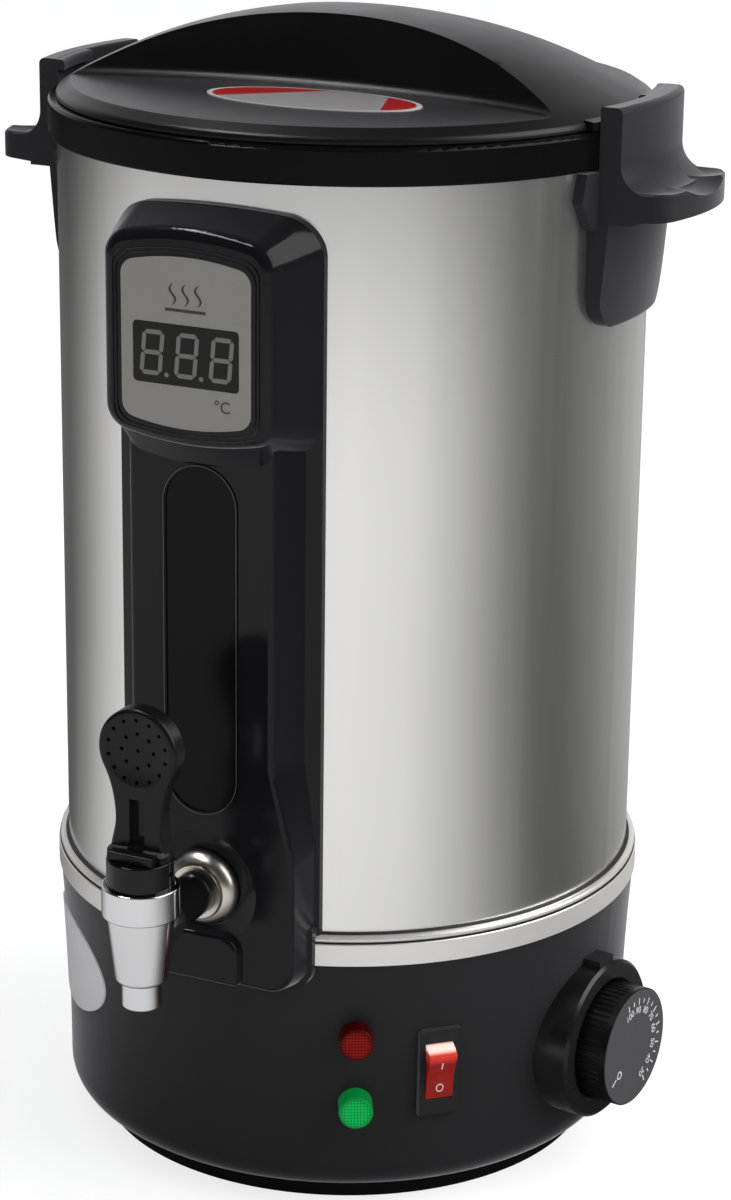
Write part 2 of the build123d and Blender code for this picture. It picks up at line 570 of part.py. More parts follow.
def lamp_lens(form, height):
    """Round-edged cap lens over the lamp, seated on the base's surface."""
    axis = outward(LAMP_AZ, height)
    cap = fillet(rod(axis, LENS_R, 96, LENS_TIP).edges().sort_by(SortBy.DISTANCE)[-1], 0.8)
    return cap - rod(axis, 4.3, 95, LENS_TIP - 1.4) - form


def switch_housing(form):
    axis = outward(SWITCH_AZ, SWITCH_Z)
    bezel = block(axis, BEZEL_W, BEZEL_H, 95, 100.6)
    bezel = chamfer(bezel.faces().sort_by(SortBy.DISTANCE)[-1].edges(), 0.7)
    body = block(axis, 11.8, 27.8, 78, 99.5)
    housing = (bezel - form) + body - block(axis, 9.8, 20.6, 86, 102)
    housing -= rod(Plane(origin=around(SWITCH_AZ, ROCKER_PIVOT, SWITCH_Z), x_dir=(0, 0, 1),
                         z_dir=axis.x_dir), 1.0 + GAP, -5.6, 5.6)
    for side in (-8, 0, 8):
        housing += block(axis, 6.3, 0.8, 70, 78, y=side)
    return housing


def rocker():
    """Sector of a round bar on two stub pins, with a slightly hollow face, at rest with its top end raised."""
    axis = outward(SWITCH_AZ, SWITCH_Z)
    pivot = Plane(origin=around(SWITCH_AZ, ROCKER_PIVOT, SWITCH_Z), x_dir=axis.z_dir, z_dir=-axis.x_dir)

    def rim(degrees):
        turn = math.radians(degrees)
        return (ROCKER_R * math.sin(turn), ROCKER_R * math.cos(turn))

    upper, lower = rim(ROCKER_RAISED), rim(180 - ROCKER_PRESSED)
    middle = ((upper[0] + lower[0]) / 2 - 0.9, (upper[1] + lower[1]) / 2 + 0.3)
    back_top, back_low = rim(-14), rim(194)
    outline = make_face([Line(lower, middle), Line(middle, upper), ThreePointArc(upper, rim(16), back_top),
                         Line(back_top, (-7.0, 3.0)), Line((-7.0, 3.0), (-7.0, -3.0)), Line((-7.0, -3.0), back_low),
                         ThreePointArc(back_low, rim(179), lower)])
    wedge = extrude(pivot.offset(-4.7) * outline, amount=9.4)
    return wedge + rod(pivot, 1.0, -5.4, 5.4)


def knob_bezel(form):
    """Raised collar round the knob, with an index tab at the top."""
    axis = outward(KNOB_AZ, KNOB_Z)
    collar = rod(axis, KNOB_BEZEL_R, 88, KNOB_BEZEL_FACE)
    collar = chamfer(collar.faces().sort_by(SortBy.DISTANCE)[-1].edges(), 1.0)
    collar += block(axis, 9, 12, 88, KNOB_BEZEL_FACE - 1.2, y=23.5)
    return collar - rod(axis, KNOB_BEZEL_IN, 80, 110) - form


def thermostat_knob():
    """Knob with a finely ribbed rim and a dished face."""
    axis = outward(KNOB_AZ, KNOB_Z)
    knob = rod(axis, KNOB_R, KNOB_BACK, KNOB_FACE)
    knob -= rod(axis, KNOB_R - 2.2, KNOB_FACE - 0.8, KNOB_FACE + 1)
    knob -= rod(axis, KNOB_R - 3, KNOB_BACK - 1, KNOB_BACK + 6) - rod(axis, 6.5, KNOB_BACK - 1, KNOB_BACK + 6)
    knob -= rod(axis, 3.0, KNOB_BACK - 1, SHAFT_TIP + 0.2)
    grooves, groove_r = 60, 0.6
    for index in range(grooves):
        turn = 2 * math.pi * index / grooves
        knob -= rod(axis, groove_r, KNOB_BACK + 3, KNOB_FACE - 2.2,
                    x=(KNOB_R + 0.15) * math.cos(turn), y=(KNOB_R + 0.15) * math.sin(turn))
    return knob


def thermostat_shaft():
    return rod(outward(KNOB_AZ, KNOB_Z), 3.0, 80, SHAFT_TIP)


def thermostat_body():
    """Bulb thermostat: case, mounting plate and shaft bush."""
    axis = outward(KNOB_AZ, KNOB_Z)
    case = block(axis, 34, 30, 60, 86) + block(axis, 20, 42, 85.8, 87.2) + rod(axis, 4.5, 87, 98.2)
    case -= rod(axis, 3.0 + GAP, 79.5, 100)
    for side in (-14, 14):
        case -= rod(axis, 1.75, 80, 90, y=side)
    return case


def thermostat_screws():
    axis = outward(KNOB_AZ, KNOB_Z)
    screws = []
    for side in (-14, 14):
        screws.append(rod(axis, 3.4, THERMOSTAT_SEAT, THERMOSTAT_SEAT + 2.0, y=side)
                      + rod(axis, 1.7, 82, THERMOSTAT_SEAT, y=side))
    return joined(screws)


# ---- Mains inlet at the back ----
def inlet_socket():
    """Flanged three-pin appliance inlet with a chamfered shroud cavity."""
    axis = outward(INLET_AZ, INLET_Z)
    flange = block(axis, 50, 24, 100.5, INLET_FACE)
    flange = fillet(flange.edges().filter_by(Axis.Y), 6)
    body = block(axis, 27.8, 20.4, 76, 101)
    cavity = extrude(axis.offset(86.5) * shroud_outline(24.0, 16.8, 4.0), amount=20)
    socket = flange + body - cavity
    for x, y in inlet_pin_places():
        socket -= block(axis, 2.0, 4.0, 70, 90, x=x, y=y)
    for side in (-20, 20):
        socket -= rod(axis, 1.75, 95, 110, x=side)
        socket -= axis.offset(INLET_FACE - 0.75) * Pos(side, 0) * Cone(1.75, 3.3, 1.5)
    return socket


def shroud_outline(width, height, cut):
    """Rectangle with two chamfered corners, the polarised shape of the plug."""
    x, y = width / 2, height / 2
    corners = [(-x, -y), (x, -y), (x, y - cut), (x - cut, y), (-x + cut, y), (-x, y - cut)]
    return make_face(Polyline(*corners, close=True))


def inlet_pin_places():
    return [(-7, -2), (7, -2), (0, 2)]


def inlet_pins():
    axis = outward(INLET_AZ, INLET_Z)
    return joined([block(axis, 2.0, 4.0, 70, 101, x=x, y=y) for x, y in inlet_pin_places()])


def inlet_screws():
    axis = outward(INLET_AZ, INLET_Z)
    screws = []
    for side in (-20, 20):
        head = axis.offset(INLET_FACE - 0.75) * Pos(side, 0) * Cone(1.7, 3.2, 1.5)
        screws.append(head + rod(axis, 1.7, 92, INLET_FACE - 1.4, x=side))
    return joined(screws)


# ---- Tap ----
def tap_axis():
    return Plane(origin=(0, TAP_Y, 0), x_dir=(1, 0, 0), z_dir=(0, 0, 1))


def tap_section(*corners, radius=0):
    return revolve(Pos(0, TAP_Y, 0) * section(*corners, radius=radius), Axis((0, TAP_Y, 0), (0, 0, 1)))


def tap_body():
    """Chrome body: spout, tapered barrel, collar, and a neck for the shank, bored through."""
    spout_r, cone_r, collar_r, seat_z = SPOUT_R, 8.2, 12.3, TAP_TOP_Z - 1.2
    outline = [(0, SPOUT_LOW_Z), (spout_r, SPOUT_LOW_Z), (spout_r, CONE_LOW_Z), (cone_r, CONE_LOW_Z),
               (10.8, RING_LOW_Z), (collar_r, RING_LOW_Z), (collar_r, TAP_TOP_Z), (0, TAP_TOP_Z)]
    body = tap_section(*outline, radius=[0, 0.6, 0.3, 1.7, 0.3, 0.7, 0.5, 0])
    body += rod(front(0), 8.6, NECK_OUT, -TAP_Y, y=TAP_Z)
    body -= tap_section((0, seat_z), (BONNET_R + 0.2, seat_z), (BONNET_R + 0.2, 134), (0, 134))
    body -= tap_section((0, 110.5), (7.0, 110.5), (7.0, PLUG_LOW_Z), (8.5, PLUG_LOW_Z), (8.5, 133), (0, 133))
    body -= tap_section((0, 90), (BORE_R, 90), (BORE_R, BORE_TOP_Z), (3.6, 108.5), (3.6, 111), (0, 111))
    body -= rod(front(0), 5.6, NECK_OUT - 5, NECK_OUT + 5, y=TAP_Z)
    body -= rod(front(0), FLOW_R, NECK_OUT - 5, -TAP_Y - 2, y=TAP_Z)
    return body


def tap_shank():
    shank = rod(front(0), SHANK_R, 82.5, NECK_OUT, y=TAP_Z) + rod(front(0), 5.55, 130, NECK_OUT + 4.8, y=TAP_Z)
    return shank - rod(front(0), FLOW_R, 80, 145, y=TAP_Z)


def tap_escutcheon():
    """Domed nut against the front moulding, with a lip round the shank."""
    y, inner, lip = -FACE_Y - NUT_SEAT, SHANK_R + GAP, SHANK_R + 1.7
    edges = [Line((inner, y), (NUT_R, y)), Line((NUT_R, y), (NUT_R, y + 1.8)),
             ThreePointArc((NUT_R, y + 1.8), (NUT_R - 1.0, y + 4.6), (lip + 0.6, y + 6.4)),
             Line((lip + 0.6, y + 6.4), (lip, y + 5.6)), Line((lip, y + 5.6), (lip, y + 7.4)),
             Line((lip, y + 7.4), (inner, y + 7.4)), Line((inner, y + 7.4), (inner, y))]
    profile = Plane(origin=(0, 0, TAP_Z), x_dir=(1, 0, 0), z_dir=(0, 0, -1)) * Curve(edges)
    return revolve(make_face(profile), Axis((0, 0, TAP_Z), (0, 1, 0)))


def tap_seals():
    """Inner washer under the lock nut, and a spacer ring between the walls of pot and barrel."""
    axis = front(0)
    washer = tube(axis, 9.6, 7.3, 88.5, 95, y=TAP_Z) & drum(POT_R - POT_WALL, 100, 130)
    spacer = tube(axis, 11, 7.3, 85, 99, y=TAP_Z) & tube(Plane.XY, BARREL_R - BARREL_WALL, POT_R, 100, 130)
    return joined([washer, spacer])


def tap_lock_nut():
    nut = extrude(front(-83.5) * Pos(0, TAP_Z) * RegularPolygon(11.5, 6), amount=5)
    return nut - rod(front(0), SHANK_R, 80, 95, y=TAP_Z)


def tap_bonnet():
    """Screwed plug: the lever's fork works in its slot, and the cross pin goes in through two side holes."""
    seat_z, top = TAP_TOP_Z - 1.2, HEEL_Z - 0.1
    cap = tap_section((0, seat_z), (BONNET_R, seat_z), (BONNET_R, top), (0, top), radius=[0, 0, 0.5, 0])
    cap += tap_section((0, PLUG_LOW_Z), (8.45, PLUG_LOW_Z), (8.45, seat_z), (0, seat_z))
    cap -= block(Plane.XY, 10.4, 10.4, 134.6, HEEL_Z + 1, y=TAP_Y + 0.2)
    cap -= Pos(0, TAP_Y, 0) * drum(2.0 + GAP, 120, 136)
    for start in (-11, 9.6):
        cap -= rod(Plane.YZ, 0.9, start, start + 1.4, x=TAP_Y, y=STEM_PIN_Z)
    return cap


def lever_outline():
    """Front view of the lever: foot, waisted shank and round thumb pad."""
    foot, waist, pad, low = 9.9, 8.2, LEVER_DISC_R, HEEL_Z + 0.1
    joint = pad * math.cos(math.radians(-28)), LEVER_DISC_Z + pad * math.sin(math.radians(-28))
    right = [Line((foot, low), (foot, 143.5)),
             Spline((foot, 143.5), (waist, 152.0), (waist + 0.4, 159.5), joint, tangents=[(-0.12, 1), (0.46, 0.88)])]
    left = [mirror(edge, Plane.YZ) for edge in right]
    cap = ThreePointArc(joint, (0, LEVER_DISC_Z + pad), (-joint[0], joint[1]))
    return make_face(right + left + [cap, Line((foot, low), (-foot, low))])


def tap_lever():
    """Lever with a heel bar, a slotted shank, a dimpled thumb pad and a fork below."""
    low = HEEL_Z + 0.1
    blade = extrude(front(LEVER_BACK_Y) * lever_outline(), amount=LEVER_BACK_Y - LEVER_FRONT_Y)
    blade = fillet(blade.faces().sort_by(Axis.Y)[0].edges().filter_by(lambda e: e.center().Z > 145), 1.4)
    foot = Pos(0, TAP_Y, 0) * drum(BONNET_R - 0.3, low, low + 3.4)
    foot &= block(Plane.XY, 30, 12.5, low - 1, low + 6, y=LEVER_FRONT_Y + 4.3)
    foot = chamfer(foot.faces().sort_by(Axis.Z)[-1].edges(), 1.2)
    bar_depth, bar_height, bar_width = 5.0, 2.9, 15.6
    heel = block(Plane.XY, bar_width, bar_depth, HEEL_Z, HEEL_Z + bar_height, y=HEEL_Y + bar_depth / 2)
    heel = fillet(heel.edges().filter_by(Axis.X), 0.5)
    tab = block(Plane.XY, 5.4, 1.6, low + 2, low + 4.4, y=LEVER_FRONT_Y - 0.6)
    lever = blade + foot + heel + tab
    slot_width, slot_height, slot_z = 5.4, 15.0, 153.3
    lever -= block(front(0), slot_width, slot_height, -LEVER_BACK_Y - 4, -LEVER_FRONT_Y + 4, y=slot_z)
    dish_r, dish_depth, dimple_r = 56.4, 1.2, 0.65
    lever -= Pos(0, LEVER_FRONT_Y + dish_depth - dish_r, LEVER_DISC_Z) * Sphere(dish_r)
    for ring_r, count in ((10.2, 14), (5.6, 8), (0, 1)):
        for index in range(count):
            turn = 2 * math.pi * index / count
            lever -= rod(front(0), dimple_r, -LEVER_FRONT_Y - 1.9, -LEVER_FRONT_Y + 3,
                         x=ring_r * math.sin(turn), y=LEVER_DISC_Z + ring_r * math.cos(turn))
    for side in (-1, 1):
        lever += block(Plane.XY, 2.2, 7.6, STEM_PIN_Z - 2.35, low + 1, x=side * 3.6, y=HEEL_Y + 6.4)
    return lever - block(Plane.YZ, 4.2, 2.7, -6, 6, x=HEEL_Y + 6.57, y=STEM_PIN_Z - 0.02)


def valve_stem():
    return Pos(0, TAP_Y, 0) * (drum(2.0, 112, STEM_PIN_Z + 2.7) + drum(5.4, 112.6, 114.4)) - \
        rod(Plane.YZ, 1.2, -3, 3, x=TAP_Y, y=STEM_PIN_Z)


def stem_pin():
    return rod(Plane.YZ, 1.2, -4.6, 4.6, x=TAP_Y, y=STEM_PIN_Z)


def valve_washer():
    return Pos(0, TAP_Y, 0) * (drum(5.4, 110.6, 112.6) - drum(2.0, 112, 113))


def valve_spring():
    """Return spring between the valve disc and the bonnet's plug."""
    pitch, turns, wire_r, coil_r, low = 2.1, 4.0, 0.45, 4.2, 115.2
    path = Pos(0, TAP_Y, low) * Helix(pitch, pitch * turns, coil_r)
    start = path @ 0
    return sweep(Plane(origin=start, z_dir=path % 0) * Circle(wire_r), path=path)


# ---- Write the nodes ----
def main():
    os.makedirs("parts", exist_ok=True)
    form = base_form()
    right = handle()
    nodes = {
        "base_shell": base_shell(form), "foot_pan": foot_pan(), "foot_screws": foot_screws(), "trim_ring": trim_ring(),
        "base_badge_plate": base_badge_plate(form), "terminal_block": terminal_block(),
        "barrel": barrel(), "inner_pot": inner_pot(), "insulation_sleeve": insulation_sleeve(),
        "top_rim": top_rim(), "lid_seal": lid_seal(), "lid_shell": lid_shell(), "lid_liner": lid_liner(),
        "lid_screws": lid_screws(), "lid_badge_plate": lid_badge_plate(),
        "handle_right": right, "handle_left": Rot(0, 0, 180) * right, "handle_screws": handle_screws(),
        "front_panel": front_panel(form), "panel_screws": panel_screws(), "oval_inlay": oval_inlay(),
        "display_plate": display_plate(), "display_window": display_window(), "display_board": display_board(),
        "heater_plate": heater_plate(), "heating_element": heating_element(), "heater_clamp": heater_clamp(),
        "thermal_cutout": thermal_cutout(), "temperature_probe": temperature_probe(),
        "lamp_holders": lamp_holders(), "lamp_lens_red": lamp_lens(form, LAMP_RED_Z),
        "lamp_lens_green": lamp_lens(form, LAMP_GREEN_Z), "switch_housing": switch_housing(form),
        "rocker": rocker(), "knob_bezel": knob_bezel(form), "thermostat_knob": thermostat_knob(),
        "thermostat_shaft": thermostat_shaft(), "thermostat_body": thermostat_body(),
        "thermostat_screws": thermostat_screws(), "inlet_socket": inlet_socket(), "inlet_pins": inlet_pins(),
        "inlet_screws": inlet_screws(), "tap_body": tap_body(), "tap_shank": tap_shank(),
        "tap_escutcheon": tap_escutcheon(), "tap_seals": tap_seals(), "tap_lock_nut": tap_lock_nut(),
        "tap_bonnet": tap_bonnet(), "tap_lever": tap_lever(), "valve_stem": valve_stem(), "stem_pin": stem_pin(),
        "valve_washer": valve_washer(), "valve_spring": valve_spring(),
    }
    for name, node in nodes.items():
        export_step(node, f"parts/{name}.step")


main()
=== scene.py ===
import math

import bmesh
import bpy
from mathutils import Matrix, Vector


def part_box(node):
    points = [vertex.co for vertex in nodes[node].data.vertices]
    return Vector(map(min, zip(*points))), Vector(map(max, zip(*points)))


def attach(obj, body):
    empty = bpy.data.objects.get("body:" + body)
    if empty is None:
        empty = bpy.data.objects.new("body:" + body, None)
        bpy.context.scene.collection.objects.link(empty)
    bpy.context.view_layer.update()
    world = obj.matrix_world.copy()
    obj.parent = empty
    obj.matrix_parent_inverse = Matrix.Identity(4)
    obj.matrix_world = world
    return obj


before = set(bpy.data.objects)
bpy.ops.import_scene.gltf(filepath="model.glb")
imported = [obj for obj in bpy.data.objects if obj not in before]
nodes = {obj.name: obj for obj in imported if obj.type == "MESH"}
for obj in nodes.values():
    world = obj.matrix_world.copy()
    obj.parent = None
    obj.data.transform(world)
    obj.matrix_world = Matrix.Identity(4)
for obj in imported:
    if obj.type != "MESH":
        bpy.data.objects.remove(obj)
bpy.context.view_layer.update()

# Looks of a table-top wax melter: the finish of every node, then the signs and small marks, then the room,
# the floor, the lamp and the camera. Lengths are in metres, unless a comment gives another unit. The front
# is -Y, and an azimuth counts from it towards +X.

MM = 0.001

# ---- Camera: its place and tilts in degrees and metres, its lens and sensor in millimetres ----
CAMERA_AZIMUTH, CAMERA_DISTANCE, CAMERA_HEIGHT = 26.0, 1.0504, 0.5249
CAMERA_PITCH, CAMERA_YAW, CAMERA_ROLL = 18.03, 0.29, 0.70
CAMERA_LENS, CAMERA_SENSOR = 95.96, 36.0

# ---- Lamp: its place, the height it aims at, its side in metres and its power in watts ----
KEY_AZIMUTH, KEY_DISTANCE, KEY_HEIGHT, KEY_AIM = 104.0, 1.8, 1.3, 0.22
KEY_SIZE, KEY_POWER = 2.0, 44

# ---- Room: the even light on the object, and the studio that shiny and clear things show ----
ROOM_COLOR, ROOM_LIGHT = (0.98, 0.985, 1.0, 1), 0.62
MIRRORED_COLOR, WHITE = (0.985, 0.97, 1.0, 1), (1, 1, 1, 1)
WALL_LIGHT, STRIP_LIGHT, DARK_ROOM = 0.80, 28.0, 0.04
# Soft edges of the pale wall and of the strip of light: an axis of the direction, where dark, where full.
WALL_EDGES = (("Y", -0.15, 0.45), ("Z", 0.75, 0.3), ("X", 0.28, 0.08))
STRIP_EDGES = (("Z", 0.85, 0.865), ("Z", 0.91, 0.895), ("Y", 0.1, 0.0), ("X", -0.12, -0.2))

# ---- Table ----
FLOOR_HALF, FLOOR_THICK = 6.0, 0.01
FLOOR_PALE, FLOOR_SHADED, FLOOR_GLOW = (0.80, 0.80, 0.80, 1), (0.35, 0.35, 0.35, 1), 0.76
# Brightness of the table in shiny things, by azimuth and by distance from the axis as far as TABLE_REACH.
TABLE_BANDS = ((-180, 0.48), (-150, 0.14), (-112, 0.10), (-94, 0.28), (-78, 0.62), (-58, 0.94), (24, 0.99),
               (44, 0.91), (64, 0.62), (80, 0.33), (96, 0.12), (112, 0.11), (135, 0.24), (155, 0.38),
               (180, 0.48))
TABLE_FALL = ((0.0, 0.12), (0.11, 0.12), (0.17, 0.32), (0.24, 0.88), (0.45, 1.0), (0.7, 1.0), (0.95, 1.12),
              (1.2, 1.15), (1.7, 0.85), (2.4, 0.3), (3.2, 0.05))
TABLE_REACH = 4.0

# ---- Places on the model ----
UNIT_X, UNIT_Z, WARMTH_Z = 12.6 * MM, 279.3 * MM, 313.0 * MM
BLACK_BLOCK_Y = -102.1 * MM
DIAL_AZIMUTH, DIAL_OUT, DIAL_RADIUS, DIAL_THICK = 82.0, 118.0 * MM, 20.0 * MM, 0.2 * MM
ROCKER_AZIMUTH, LENS_AZIMUTH = 44.0, 28.0
# Heights where the rocker's painted light turns from dark to lit, and from lit to its pale painted highlight.
ROCKER_PAINTED_LIGHT, ROCKER_PAINTED_HIGHLIGHT = (54.6 * MM, 57.4 * MM), (58.5 * MM, 59.8 * MM)
SEAM_HALF = 0.5 * MM

# ---- Patterns: how often each repeats per metre along x, y and z ----
FLOW_MARKS, SMUDGES, SINKS, GRAIN = (22, 22, 14), (60, 60, 45), (35, 35, 30), (2600, 2600, 2600)
GLOSS_CLOUD, BRUSHING, ROLLING = (18, 18, 9), (1500, 1500, 7), (60, 60, 0.8)
FIBRES, TRACKS, SPARKLE, RED_CLOUD = (900, 900, 2200), (500, 500, 500), (3200, 3200, 3200), (260, 260, 260)
INK_COAT = (1800, 1800, 1800)


# ---- Geometry helpers ----
def front_of(node):
    """How far a node reaches from the upright axis towards the front."""
    return -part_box(node)[0].y


def middle_of(node):
    """Middle of a node's box."""
    low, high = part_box(node)
    return (low + high) / 2


def around(azimuth, radius, height):
    """Point at an azimuth, a distance from the upright axis and a height."""
    turn = math.radians(azimuth)
    return Vector((radius * math.sin(turn), -radius * math.cos(turn), height))


def facing(azimuth, radius, height):
    """Matrix whose x is level, y up and z straight out of the body at an azimuth."""
    out = around(azimuth, 1.0, 0.0)
    level = Vector((-out.y, out.x, 0.0))
    place = Matrix((level, Vector((0, 0, 1)), out)).transposed().to_4x4()
    place.translation = around(azimuth, radius, height)
    return place


def turned(degrees, axis):
    """Rotation about one of the axes."""
    return Matrix.Rotation(math.radians(degrees), 4, axis)


def linked(name, data):
    """New object in the scene."""
    made = bpy.data.objects.new(name, data)
    bpy.context.scene.collection.objects.link(made)
    return made


def piece(name, mesh, body, material):
    """New object that rides on a body and takes the given finish."""
    made = linked(name, mesh)
    made.data.materials.append(material)
    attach(made, body)
    return made


def mesh_of(name, shape):
    """Mesh of a finished bmesh, which is freed."""
    mesh = bpy.data.meshes.new(name)
    shape.to_mesh(mesh)
    shape.free()
    return mesh


def merged(name, meshes):
    """One mesh from several, which are removed."""
    shape = bmesh.new()
    for part in meshes:
        shape.from_mesh(part)
        bpy.data.meshes.remove(part)
    return mesh_of(name, shape)


def sheet_mesh(name, outlines, thickness, place):
    """Flat plates of one thickness, each from a closed outline in x and y, set in place."""
    shape = bmesh.new()
    for outline in outlines:
        low = [shape.verts.new((x, y, 0.0)) for x, y in outline]
        high = [shape.verts.new((x, y, thickness)) for x, y in outline]
        shape.faces.new(list(reversed(low)))
        shape.faces.new(high)
        for index in range(len(outline)):
            after = (index + 1) % len(outline)
            shape.faces.new((low[index], low[after], high[after], high[index]))
    bmesh.ops.recalc_face_normals(shape, faces=shape.faces)
    mesh = mesh_of(name, shape)
    mesh.transform(place)
    return mesh


def lathe_mesh(name, profile, sides=240):
    """Closed ring turned about the upright axis from an outline of radii and heights."""
    shape = bmesh.new()
    loops = [[shape.verts.new(around(360 * k / sides, radius, height)) for radius, height in profile]
             for k in range(sides)]
    for k, loop in enumerate(loops):
        after = loops[(k + 1) % sides]
        for index in range(len(profile)):
            following = (index + 1) % len(profile)
            shape.faces.new((loop[index], after[index], after[following], loop[following]))
    bmesh.ops.recalc_face_normals(shape, faces=shape.faces)
    return mesh_of(name, shape)


def text_mesh(name, text, size, thickness):
    """Mesh of a short sign in the plain built-in face, centred on its origin."""
    curve = bpy.data.curves.new(name, "FONT")
    curve.body = text
    curve.size = size
    curve.align_x, curve.align_y = "CENTER", "CENTER"
    curve.extrude = thickness / 2
    holder = linked(name, curve)
    mesh = bpy.data.meshes.new_from_object(holder)
    bpy.data.objects.remove(holder)
    bpy.data.curves.remove(curve)
    return mesh


def bar(length, width, x=0.0, y=0.0, turn=0.0):
    """Outline of a straight stroke with square ends, turned about its middle."""
    cosine, sine = math.cos(turn), math.sin(turn)
    ends = ((-1, -1), (1, -1), (1, 1), (-1, 1))
    corners = [(along * length / 2, across * width / 2) for along, across in ends]
    return [(x + u * cosine - v * sine, y + u * sine + v * cosine) for u, v in corners]


def disc(radius, x=0.0, y=0.0, sides=20):
    """Outline of a round mark."""
    turns = [2 * math.pi * k / sides for k in range(sides)]
    return [(x + radius * math.cos(turn), y + radius * math.sin(turn)) for turn in turns]


def ring_outlines(x, y, outer_radius, inner_radius, stretch=1.0, sides=24):
    """Flat ring as a row of small quads, stretched along y."""
    outlines = []
    for k in range(sides):
        start, end = (2 * math.pi * step / sides for step in (k, k + 1))
        corners = ((outer_radius, start), (outer_radius, end), (inner_radius, end), (inner_radius, start))
        outlines.append([(x + radius * math.cos(turn), y + stretch * radius * math.sin(turn))
                         for radius, turn in corners])
    return outlines


# ---- Shader helpers ----
def add(tree, kind, inputs=None, **settings):
    """New shader node: settings are its properties, inputs its sockets by name or number."""
    made = tree.nodes.new("ShaderNode" + kind)
    for key, value in settings.items():
        setattr(made, key, value)
    for socket, value in (inputs or {}).items():
        if isinstance(value, bpy.types.NodeSocket):
            tree.links.new(value, made.inputs[socket])
        else:
            made.inputs[socket].default_value = value
    return made


def blank(name, **sockets):
    """Material with a Principled shader whose fixed sockets are set directly."""
    material = bpy.data.materials.new(name)
    material.use_nodes = True
    shader = material.node_tree.nodes["Principled BSDF"]
    for socket, value in sockets.items():
        shader.inputs[socket.replace("_", " ")].default_value = value
    return material, material.node_tree, shader


def link(tree, shader, **outputs):
    """Joins outputs of other nodes to a shader's sockets."""
    for socket, output in outputs.items():
        tree.links.new(output, shader.inputs[socket.replace("_", " ")])


def own_place(tree):
    """Coordinates of the object itself."""
    return add(tree, "TexCoord").outputs["Object"]


def axes_of(tree, vector):
    """A vector's X, Y and Z."""
    return add(tree, "SeparateXYZ", {0: vector}).outputs


def computed(tree, operation, *values):
    """Result of one sum, product, comparison and so on."""
    return add(tree, "Math", dict(enumerate(values)), operation=operation).outputs[0]


def product(tree, *values):
    total = values[0]
    for value in values[1:]:
        total = computed(tree, "MULTIPLY", total, value)
    return total


def mixed(tree, factor, first, second, **settings):
    """Colour between two others. Sockets 6 and 7 and output 2 of a Mix node are its colours."""
    return add(tree, "Mix", {0: factor, 6: first, 7: second}, data_type="RGBA", **settings).outputs[2]


def tint(tree, factor, dark, light):
    """Colour between two fixed ones, given as red, green and blue."""
    return mixed(tree, factor, (*dark, 1), (*light, 1))


def noise(tree, scale, detail=3.0, roughness=0.5):
    """Noise from 0 to 1 over the object's own coordinates, scaled per metre along x, y and z."""
    mapped = add(tree, "Mapping", {"Vector": own_place(tree), "Scale": scale}).outputs["Vector"]
    inputs = {"Vector": mapped, "Scale": 1.0, "Detail": detail, "Roughness": roughness}
    return add(tree, "TexNoise", inputs).outputs["Fac"]


def ranged(tree, value, low, high, start=0.0, end=1.0, **settings):
    """Takes a value from between two limits to between two others, and holds it at their ends."""
    inputs = {"Value": value, "From Min": low, "From Max": high, "To Min": start, "To Max": end}
    return add(tree, "MapRange", inputs, **settings).outputs["Result"]


def spread(tree, value, start, end):
    """Takes the middle of a noise to a range."""
    return ranged(tree, value, 0.3, 0.7, start, end)


def smooth_step(tree, value, low, high):
    """Runs softly from 0 to 1 as a value goes from one limit to the other."""
    return ranged(tree, value, low, high, interpolation_type="SMOOTHSTEP")


def bump(tree, height, distance, strength=1.0, onto=None):
    inputs = {"Height": height, "Distance": distance, "Strength": strength}
    if onto is not None:
        inputs["Normal"] = onto
    return add(tree, "Bump", inputs).outputs["Normal"]


def level_ramp(tree, share, stops):
    """Grey levels along a 0 to 1 value."""
    ramp = add(tree, "ValToRGB", {0: share})
    elements = ramp.color_ramp.elements
    while len(elements) < len(stops):
        elements.new(0.5)
    for element, (position, level) in zip(elements, stops):
        element.position = position
        element.color = (level, level, level, 1)
    return ramp.outputs["Color"]


def seen_share(tree):
    """Whether a ray comes from the camera, and whether it is mirrored or passes through something clear."""
    path = add(tree, "LightPath").outputs
    shiny = computed(tree, "MAXIMUM", path["Is Glossy Ray"], path["Is Transmission Ray"])
    return {"camera": path["Is Camera Ray"], "shiny": shiny}


